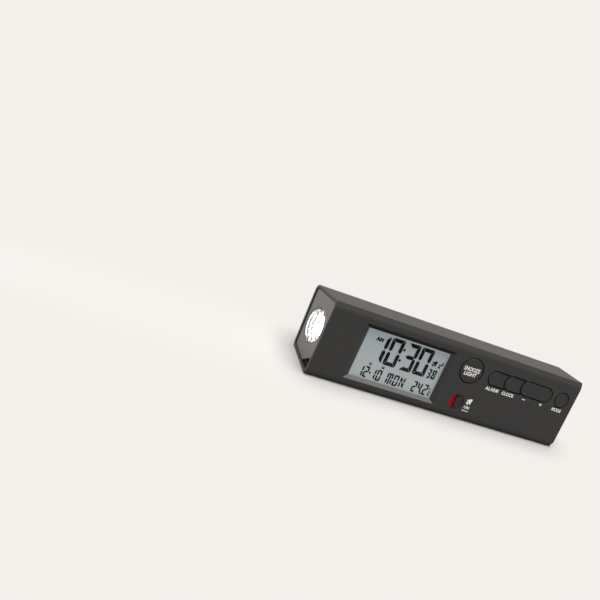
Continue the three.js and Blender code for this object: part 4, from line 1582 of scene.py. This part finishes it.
@dataclass
class Labels:
    """White printing beside and on the keys."""

    depth: Point = (-0.02, 0.03)
    dish_depth: Point = (0.02, 0.2)
    weight: float = 0.028

    def words(self, text: str, x: float, z: float, width: float, height: float) -> bpy.types.Mesh:
        """A word printed on the face."""
        return Ink.letters(text, (x, z), (width, height), self.depth, self.weight)

    def build(self, keys: Keys, recess: Disc) -> None:
        """Prints the labels.

        Args:
            keys: The keys that they name.
            recess: The alarm slide's recess.
        """
        key = keys.outlines
        snooze, mode, rocker = key["snooze_button"], key["mode_button"], key["minus_plus_rocker"]
        dish = self.dish_depth
        caps = [
            Ink.letters("SNOOZE", (snooze.x - 0.1, snooze.z + 0.7), (9.2, 2.05), dish, self.weight),
            Ink.letters("LIGHT", (snooze.x, snooze.z - 1.75), (7.2, 2.05), dish, self.weight),
        ]
        piece("snooze_label", merged(caps), Palette.ink, "snooze_button")
        row = key["alarm_button"].z - 5.5
        prints = [
            self.words("ALARM", key["alarm_button"].x + 1.0, row, 7.7, 1.7),
            self.words("CLOCK", key["clock_button"].x + 0.8, row, 7.4, 1.7),
            self.words("MODE", mode.x - 0.4, row, 5.9, 1.7),
            Ink.bar(rocker.left - 0.4, rocker.left + 1.4, row - 0.2, row + 0.2, self.depth),
            Ink.bar(rocker.right - 1.15, rocker.right + 0.35, row - 0.1, row + 0.3, self.depth),
            Ink.bar(rocker.right - 0.6, rocker.right - 0.2, row - 0.65, row + 0.85, self.depth),
        ]
        side = recess.x + 6.75
        prints += [
            Ink.bell((side + 0.1, recess.z + 1.85), 3.5, -38, self.depth),
            self.words("ON", side, recess.z - 1.35, 3.1, 1.5),
            Ink.bar(side - 1.8, side + 1.8, recess.z - 3.35, recess.z - 3.0, self.depth),
            Ink.bar(side - 1.8, side - 1.55, recess.z - 3.5, recess.z - 2.8, self.depth),
            Ink.bar(side + 1.55, side + 1.8, recess.z - 3.5, recess.z - 2.8, self.depth),
        ]
        piece("face_labels", merged(prints), Palette.ink, "casing")


@dataclass
class Lamp:
    """The torch in the lamp end: a satin bezel, a lens, a faceted cup and three white beads."""

    mouth_inset: float = 1.5
    edge: float = 0.35
    hole: float = 8.3
    dish: float = 9.7
    body: float = 9.2
    lens_play: float = 0.3
    lens_seat: float = 2.5
    bead_radius: float = 2.5
    bead_foot: float = 10.0
    bead_rim: float = 0.35
    bead_ring: float = 3.55
    facets: int = 18
    facet_rows: int = 6
    bowl_depth: float = 5.0
    throat: float = 6.3
    brim: float = 8.6
    corner: tuple[Point, ...] = ((-3.0, 10.75), (11.5, 2.0), (11.5, -4.0), (-3.0, -4.0))

    def build(self, recipes: Recipes) -> None:
        """Builds the lamp.

        Args:
            recipes: The trees for the beads.
        """
        middle = FACE.box("lamp_lens").middle
        self.bezel(middle.y, middle.z)
        self.lens(middle.y, middle.z)
        self.cup(middle.y, middle.z)
        self.beads(middle.y, middle.z, recipes)

    def bezel(self, y: float, z: float) -> None:
        """The satin plate round the lamp, cut away at the low front corner, with a dished bore."""
        box = FACE.box("lamp_bezel")
        start = box.x[0]
        layers = [(x, self.mouth_inset + ease) for x, ease in eased(start, self.edge)]
        insert = SECTION.solid([*layers, (box.x[1], self.mouth_inset)])
        corner = loft([[Vector((x, u, v)) for u, v in self.corner] for x in (-1, 4)])
        cone = [(self.dish, -1), (self.dish, start)]
        cone += [(self.hole + 0.15, start + 0.42), (self.hole, start + 0.6)]
        bore = lathe([(0, -1), *cone, (self.hole, 4), (0, 4)], y, z, 96)
        shape = carve(insert, [corner, bore])
        piece("lamp_bezel_ring", shape, Palette.silver, "casing", ["lamp_bezel"])

    def lens(self, y: float, z: float) -> None:
        """The clear lens, with a flange behind the bezel."""
        box = FACE.box("lamp_lens")
        clear, seat = self.hole - self.lens_play, self.lens_seat
        profile = [(0, box.x[0]), *[(clear - ease, x) for x, ease in eased(box.x[0], 0.2)]]
        profile += [(clear, seat), (self.body, seat), (self.body, box.x[1]), (0, box.x[1])]
        shape = lathe(profile, y, z, 96)
        piece("lamp_front_lens", shape, Palette.lens, "casing", ["lamp_lens"])

    def cup(self, y: float, z: float) -> None:
        """The reflector, whose bowl is made of flat facets."""
        box = FACE.box("lamp_reflector")
        front, rows = box.x[0], self.facet_rows
        places = [(0, box.x[1], 0), (self.body, box.x[1], 0), (self.body, front, 0)]
        for number in range(rows + 1):
            along = number / rows
            radius = self.throat + (self.brim - self.throat) * math.sqrt(1 - along)
            places.append((radius, front + self.bowl_depth * along, number % 2))
        places.append((0, front + self.bowl_depth, rows % 2))
        rings = [
            hoop(x, y, z, radius, self.facets, half * math.pi / self.facets)
            for radius, x, half in places
        ]
        shape = loft(rings)
        piece("lamp_cup", shape, Palette.chrome, "casing", ["lamp_reflector"], flat=True)

    def beads(self, y: float, z: float, recipes: Recipes) -> None:
        """The three white beads, on a ring behind the lens."""
        box = FACE.box("lamp_led_1")
        radius, tip, foot = self.bead_radius, box.x[0], self.bead_foot
        turns = [math.pi / 2 * i / 8 for i in range(9)]
        dome = [(radius * math.sin(a), tip + radius * (1 - math.cos(a))) for a in turns]
        rim = radius + self.bead_rim
        base = [(radius, foot), (rim, foot), (rim, box.x[1]), (0, box.x[1])]
        beads = recipes.ring.cook(
            lathe([*dome, *base], 0, 0, 32),
            Palette.bead.material(),
            Count=3,
            Radius=self.bead_ring,
            Turn=(math.pi / 2, 0, math.pi / 2),
            Phase=math.pi / 2,
        )
        beads.transform(Matrix.Translation((0, y, z)))
        names = [f"lamp_led_{number}" for number in (1, 2, 3)]
        piece("lamp_beads", beads, Palette.bead, "casing", names)


@dataclass
class Back:
    """The back: a screwed cover with sound holes, and the battery door that slides off the tail."""

    edge: float = 0.25
    plate: float = 1.8
    corner: float = 0.6
    lift: float = 0.15
    grooves: int = 5
    groove_pitch: float = 1.6
    groove_half: float = 0.35
    groove_start: float = 6.35
    groove_span: Point = (14.0, 25.0)
    arrow_gap: float = 6.0
    arrow_length: float = 4.0
    arrow_heights: Place = (17.5, 19.5, 21.5)
    arrow_depth: float = 0.35
    well: float = 2.0
    well_depth: float = 1.1
    bore: float = 1.15
    head: tuple[Point, ...] = ((0, 0), (0.7, 0.02), (1.25, 0.12), (1.6, 0.35), (1.7, 0.6), (1.7, 1.0))
    shank: float = 0.85
    point: float = 0.6
    cross_reach: float = 1.1
    cross_half: float = 0.24
    cross_depth: float = 0.55
    hole: float = 0.6
    hole_count: int = 6
    hole_ring: float = 3.0
    hole_depths: Point = (18.0, 27.0)

    def panel(self, node: str) -> bpy.types.Mesh:
        """A flat cover plate with softened edges."""
        box = FACE.box(node)
        outline = Panel(box.x[0], box.x[1], box.z[0] + self.lift, box.z[1], self.corner)
        edge = [(depth, -ease) for depth, ease in eased(0, self.edge)]
        return SECTION.back_slab(outline, [*edge, (self.plate, 0)])

    def screw(self, length: float) -> bpy.types.Mesh:
        """A small pan-head screw with a cross recess, its head's top at zero, pointing at the face."""
        shank = [(self.shank, 1.0), (self.shank, length - self.point), (0.2, length), (0, length)]
        turned = lathe([*self.head, *shank], 0, 0, 32)
        deep = (-0.5, self.cross_depth)
        long, wide = (-self.cross_reach, self.cross_reach), (-self.cross_half, self.cross_half)
        made = carve(turned, [block(Bounds(deep, long, wide)), block(Bounds(deep, wide, long))])
        made.transform(Matrix.Rotation(-math.pi / 2, 4, "Z"))
        return made

    def screws(self, recipes: Recipes, name: str, count: int) -> None:
        """Places the screws of one kind.

        Args:
            recipes: The trees for the copies.
            name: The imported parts' name, without their number.
            count: How many there are.
        """
        nodes = [f"{name}_{number}" for number in range(1, count + 1)]
        boxes = [FACE.box(node) for node in nodes]
        model = held(self.screw(boxes[0].size.y))
        places = points_mesh([(b.middle.x, b.y[1], b.middle.z) for b in boxes])
        shape = recipes.at_points.cook(places, Palette.screw.material(), Shape=model)
        bpy.data.objects.remove(model)
        piece(f"{name}s", shape, Palette.screw, "casing", nodes)

    def cover(self, recipes: Recipes) -> bpy.types.Mesh:
        """The rear cover with its screw wells and sound holes."""
        wells = []
        for number in range(1, 5):
            screw = FACE.box(f"cover_screw_{number}").middle
            surface = SECTION.back(screw.z)[0]
            edge = [(surface - depth, ease) for depth, ease in reversed(eased(0, 0.2))]
            well = Disc(screw.x, screw.z, self.well, 40)
            wells.append(well.solid([(surface - self.well_depth, 0), *edge, (surface + 2, 0.2)]))
            bore = Disc(screw.x, screw.z, self.bore, 24)
            wells.append(bore.solid([(surface - 5, 0), (surface, 0)]))
        buzzer = FACE.box("piezo_buzzer").middle
        hole = Disc(0, 0, self.hole, 20).solid([(depth, 0) for depth in self.hole_depths])
        around = recipes.ring.cook(
            hole.copy(),
            Palette.casing.material(),
            Count=self.hole_count,
            Radius=self.hole_ring,
            Turn=(math.pi / 2, 0, 0),
            Phase=0.0,
        )
        holes = [moved(shape, buzzer.x, 0, buzzer.z) for shape in (hole, around)]
        return carve(self.panel("rear_cover"), [*wells, *holes])

    def door(self, recipes: Recipes) -> bpy.types.Mesh:
        """The battery door with its grip and an arrow that shows which way it slides."""
        start = FACE.box("battery_door").x[0] + self.groove_start
        grip = Panel(start - self.groove_half, start + self.groove_half, *self.groove_span, 0.3)
        groove = SECTION.back_slab(grip, [(-0.5, 0.1), (0, 0.1), (0.15, 0), (0.5, 0)])
        step = (self.groove_pitch, 0, 0)
        grooves = recipes.row.cook(groove, Palette.casing.material(), Count=self.grooves, Step=step)
        tip = start + self.groove_pitch * self.grooves + self.arrow_gap
        tail = tip - self.arrow_length
        arrow = list(zip((tail, tip, tail), self.arrow_heights))
        depths = (-0.5, self.arrow_depth)
        rings = [[Vector((x, *SECTION.back(z, below))) for x, z in arrow] for below in depths]
        return carve(self.panel("battery_door"), [grooves, loft(rings)])

    def build(self, recipes: Recipes) -> None:
        """Builds the back.

        Args:
            recipes: The trees for what repeats.
        """
        cover = self.cover(recipes)
        piece("rear_cover_plate", cover, Palette.casing, "casing", ["rear_cover"])
        door, node = self.door(recipes), "battery_door"
        piece("battery_door_plate", door, Palette.casing, node, [node])
        self.screws(recipes, "cover_screw", 4)
        self.screws(recipes, "tray_screw", 2)


@dataclass
class TorchButton:
    """The torch's push button in the tail: a round cap with a dished, ringed top."""

    radius: float = 4.4
    edge: float = 0.35
    dish: float = 0.28
    dish_radii: Point = (3.35, 3.6)
    rings: int = 3
    first_ring: float = 0.9
    ridge: tuple[Point, ...] = ((-0.22, 0.28), (-0.1, 0.12), (0.1, 0.12), (0.22, 0.28))
    flange: float = 1.0
    flange_depth: float = 0.8

    def build(self) -> None:
        """Builds the button."""
        box = FACE.box("torch_button")
        foot, face = box.x
        floor = face - self.dish
        edge = [(self.radius - ease, x) for x, ease in eased(face, self.edge, -1)]
        top: list[Point] = [(0, floor)]
        for number in range(self.rings):
            ring = self.first_ring + number
            top += [(ring + offset, face - depth) for offset, depth in self.ridge]
        top += [(self.dish_radii[0], floor), (self.dish_radii[1], face)]
        lip, seat = self.radius + self.flange, foot + self.flange_depth
        body = [(self.radius, seat), (lip, seat), (lip, foot), (0, foot)]
        shape = lathe([*top, *edge, *body], box.middle.y, box.middle.z, 72)
        piece("torch_button_cap", shape, Palette.key, "torch_button", ["torch_button"])


@dataclass
class BatteryBay:
    """What shows when the battery door is off: two cells in their tray, with contacts and springs."""

    radius: float = 5.25
    sides: int = 48
    nub_height: float = 0.8
    sleeve_start: float = 0.5
    band_width: float = 9.0
    wire: float = 0.3
    coil_turns: float = 3.5
    coil_radii: Point = (3.0, 1.9)
    coil_slack: float = 0.6
    tray_floor: float = 0.8
    tray_wall: float = 1.2
    screw_bore: float = 1.15

    def cell(self, number: int) -> None:
        """A cell with a rolled rim, a nub, and a coloured sleeve with a pale band."""
        node = f"battery_cell_{number}"
        box = FACE.box(node)
        way = 1 if number == 1 else -1
        flat, nub = box.x[::way]
        shoulder = nub - way * self.nub_height
        r, step, round_off, sunk = self.radius, way * 0.15, way * 0.3, way * 0.2
        end = [(0, flat), (3.4, flat), (3.7, flat + step), (r - 0.5, flat + step), (r - 0.1, flat)]
        side = [(r, flat + round_off), (r, shoulder - round_off), (r - 0.25, shoulder)]
        top = [(r - 0.9, shoulder), (r - 1.1, shoulder - sunk), (1.9, shoulder - sunk)]
        tip = [(1.9, nub - step), (1.75, nub), (0, nub)]
        y, z = box.middle.y, box.middle.z
        can = lathe([*end, *side, *top, *tip], y, z, self.sides)
        piece(f"cell_{number}", can, Palette.band, "casing", [node])
        start, stop = flat + way * self.sleeve_start, shoulder - way * self.band_width
        inner, lip, skin, ease = r - 0.3, r + 0.02, r + 0.04, way * 0.1
        film = [(inner, start), (lip, start), (skin, start + ease)]
        film += [(skin, stop - ease), (lip, stop), (inner, stop)]
        sleeve = lathe(film, y, z, self.sides, closed=True)
        piece(f"cell_{number}_sleeve", sleeve, Palette.sleeve, "casing")

    def springs(self, recipes: Recipes) -> None:
        """The two coil contacts."""
        for number, way in ((1, 1), (2, -1)):
            node = f"contact_spring_{number}"
            box = FACE.box(node)
            coil = recipes.coil.cook(
                points_mesh([(0, 0, 0)]),
                Palette.steel.material(),
                Turns=self.coil_turns,
                Wide=self.coil_radii[0],
                Narrow=self.coil_radii[1],
                Height=box.size.x - self.coil_slack,
                Wire=self.wire,
            )
            start = box.x[::way][0] + way * self.wire
            turn = Matrix.Rotation(way * math.pi / 2, 4, "Y")
            coil.transform(Matrix.Translation((start, box.middle.y, box.middle.z)) @ turn)
            piece(f"contact_coil_{number}", coil, Palette.steel, "casing", [node])

    def tray(self) -> bpy.types.Mesh:
        """The tray: a floor with a wall at each end, softened edges and two screw holes."""
        box = FACE.box("battery_tray")
        front, (left, right) = box.y[0], box.x
        floor = front + self.tray_floor
        base = block(Bounds(box.x, (front, floor), box.z), 0.15)
        spans = ((left, left + self.tray_wall), (right - self.tray_wall, right))
        tray = carve(base, [block(Bounds(span, box.y, box.z), 0.15) for span in spans], Cut.ONTO)
        holes = []
        for number in (1, 2):
            screw = FACE.box(f"tray_screw_{number}").middle
            hole = Disc(screw.x, screw.z, self.screw_bore, 24)
            holes.append(hole.solid([(front - 1, 0), (floor + 1, 0)]))
        return carve(tray, holes)

    def build(self, recipes: Recipes) -> None:
        """Builds the bay.

        Args:
            recipes: The trees for the coils.
        """
        piece("battery_tray_shell", self.tray(), Palette.tray, "casing", ["battery_tray"])
        for number in (1, 2):
            self.cell(number)
        self.springs(recipes)
        for which in ("link", "plus", "minus"):
            node = f"contact_plate_{which}"
            leaf = block(FACE.box(node), 0.12)
            piece(f"contact_leaf_{which}", leaf, Palette.steel, "casing", [node])


class Inside:
    """The parts on and round the circuit board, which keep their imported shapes."""

    @staticmethod
    def build() -> None:
        """Dresses them."""
        dress(Palette.board, "main_board", "lamp_board")
        dress(Palette.black, "controller_chip", "thermistor", "piezo_buzzer", "torch_switch")
        dress(Palette.steel, "crystal", "alarm_switch")
        for which in ("snooze", "alarm", "clock", "minus", "plus", "mode"):
            dress(Palette.steel, f"tact_{which}")
        dress(Palette.can, "capacitor")
        dress(Palette.carbon, "zebra_lower", "zebra_upper")
        dress(Palette.guide, "backlight_panel")


@dataclass
class Studio:
    """The floor, the light and the camera."""

    floor_half: float = 60.0
    floor_colour: Colour = (0.36, 0.365, 0.37)
    camera_place: Place = (-276.12, -347.42, 211.79)
    camera_right: Place = (0.85365, -0.21525, 0.47429)
    camera_up: Place = (-0.28510, 0.56897, 0.77136)
    lens: float = 60.17
    key_strength: float = 7.1
    key_lean: float = 10.5
    key_turn: float = 10.0
    key_spread: float = 50.0
    key_colour: Colour = (1.0, 0.945, 0.885)
    side_power: float = 4.6
    side_colour: Colour = (1.0, 0.965, 0.93)
    side_cone: float = 12.0
    side_blend: float = 0.2
    side_size: float = 12.0
    side_place: Place = (-373.0, 0.0, 17.5)
    sky: Colour = (0.276, 0.284, 0.296)

    def floor(self) -> None:
        """A plain pale floor that the clock stands on."""
        mesh = bpy.data.meshes.new("floor")
        half = self.floor_half
        corners = [(-half, -half, 0), (half, -half, 0), (half, half, 0), (-half, half, 0)]
        mesh.from_pydata(corners, [], [(0, 1, 2, 3)])
        ground = bpy.data.objects.new("floor", mesh)
        bpy.context.scene.collection.objects.link(ground)
        finish = bpy.data.materials.new("floor_paper")
        finish.use_nodes = True
        shader = finish.node_tree.nodes["Principled BSDF"]
        shader.inputs["Base Color"].default_value = (*self.floor_colour, 1)
        shader.inputs["Roughness"].default_value = 0.9
        shader.inputs["Specular IOR Level"].default_value = 0.1
        mesh.materials.append(finish)

    def key(self) -> None:
        """A broad soft distant light, from almost straight above."""
        light = bpy.data.lights.new("key", "SUN")
        light.energy, light.angle = self.key_strength, math.radians(self.key_spread)
        light.color = self.key_colour
        lean, turn = math.radians(self.key_lean), math.radians(self.key_turn)
        above = Vector((math.sin(lean) * math.sin(turn), math.sin(lean) * math.cos(turn), math.cos(lean)))
        lamp = bpy.data.objects.new("key", light)
        lamp.rotation_euler = above.to_track_quat("Z", "Y").to_euler()
        bpy.context.scene.collection.objects.link(lamp)

    def side(self) -> None:
        """A small light level with the clock's middle, which reaches its lamp end only."""
        light = bpy.data.lights.new("side", "SPOT")
        light.energy, light.color = self.side_power, self.side_colour
        light.spot_size, light.spot_blend = math.radians(self.side_cone), self.side_blend
        light.shadow_soft_size = self.side_size * MM
        lamp = bpy.data.objects.new("side", light)
        lamp.location = Vector(self.side_place) * MM
        lamp.rotation_euler = Vector((-1, 0, 0)).to_track_quat("Z", "Y").to_euler()
        lamp.visible_camera = lamp.visible_glossy = False
        bpy.context.scene.collection.objects.link(lamp)

    def light(self) -> None:
        """A broad soft light from above, a weak one on the lamp end, and a dim even sky."""
        self.key()
        self.side()
        sky = bpy.data.worlds.new("sky")
        sky.use_nodes = True
        sky.node_tree.nodes["Background"].inputs["Color"].default_value = (*self.sky, 1)
        sky.node_tree.nodes["Background"].inputs["Strength"].default_value = 1.0
        bpy.context.scene.world = sky
        bpy.context.scene.view_settings.view_transform = "Standard"

    def camera(self) -> None:
        """The camera, looking at the lamp end from in front, above and to its side."""
        view = bpy.data.cameras.new("camera")
        view.lens = self.lens
        view.clip_start, view.clip_end = 0.01, 200.0
        eye = bpy.data.objects.new("camera", view)
        right, up = Vector(self.camera_right).normalized(), Vector(self.camera_up)
        back = right.cross(up).normalized()
        turn = Matrix((right, back.cross(right), back)).transposed()
        eye.matrix_world = Matrix.Translation(Vector(self.camera_place) * MM) @ turn.to_4x4()
        bpy.context.scene.collection.objects.link(eye)
        bpy.context.scene.camera = eye

    def build(self) -> None:
        """Sets the stage."""
        self.floor()
        self.light()
        self.camera()


def main() -> None:
    """Builds the clock piece by piece, then its stage."""
    logging.basicConfig(level=logging.INFO, format="%(name)s %(message)s")
    recipes = Recipes()
    casing, keys = Casing(), Keys()
    recess = casing.recess()
    trim = WindowFrame()
    casing.build(keys.openings(), trim)
    trim.build()
    keys.build()
    AlarmSlide().build(recess, recipes)
    Display().build()
    Labels().build(keys, recess)
    Lamp().build(recipes)
    Back().build(recipes)
    TorchButton().build()
    BatteryBay().build(recipes)
    Inside.build()
    Studio().build()


if __name__ == "__main__":
    main()
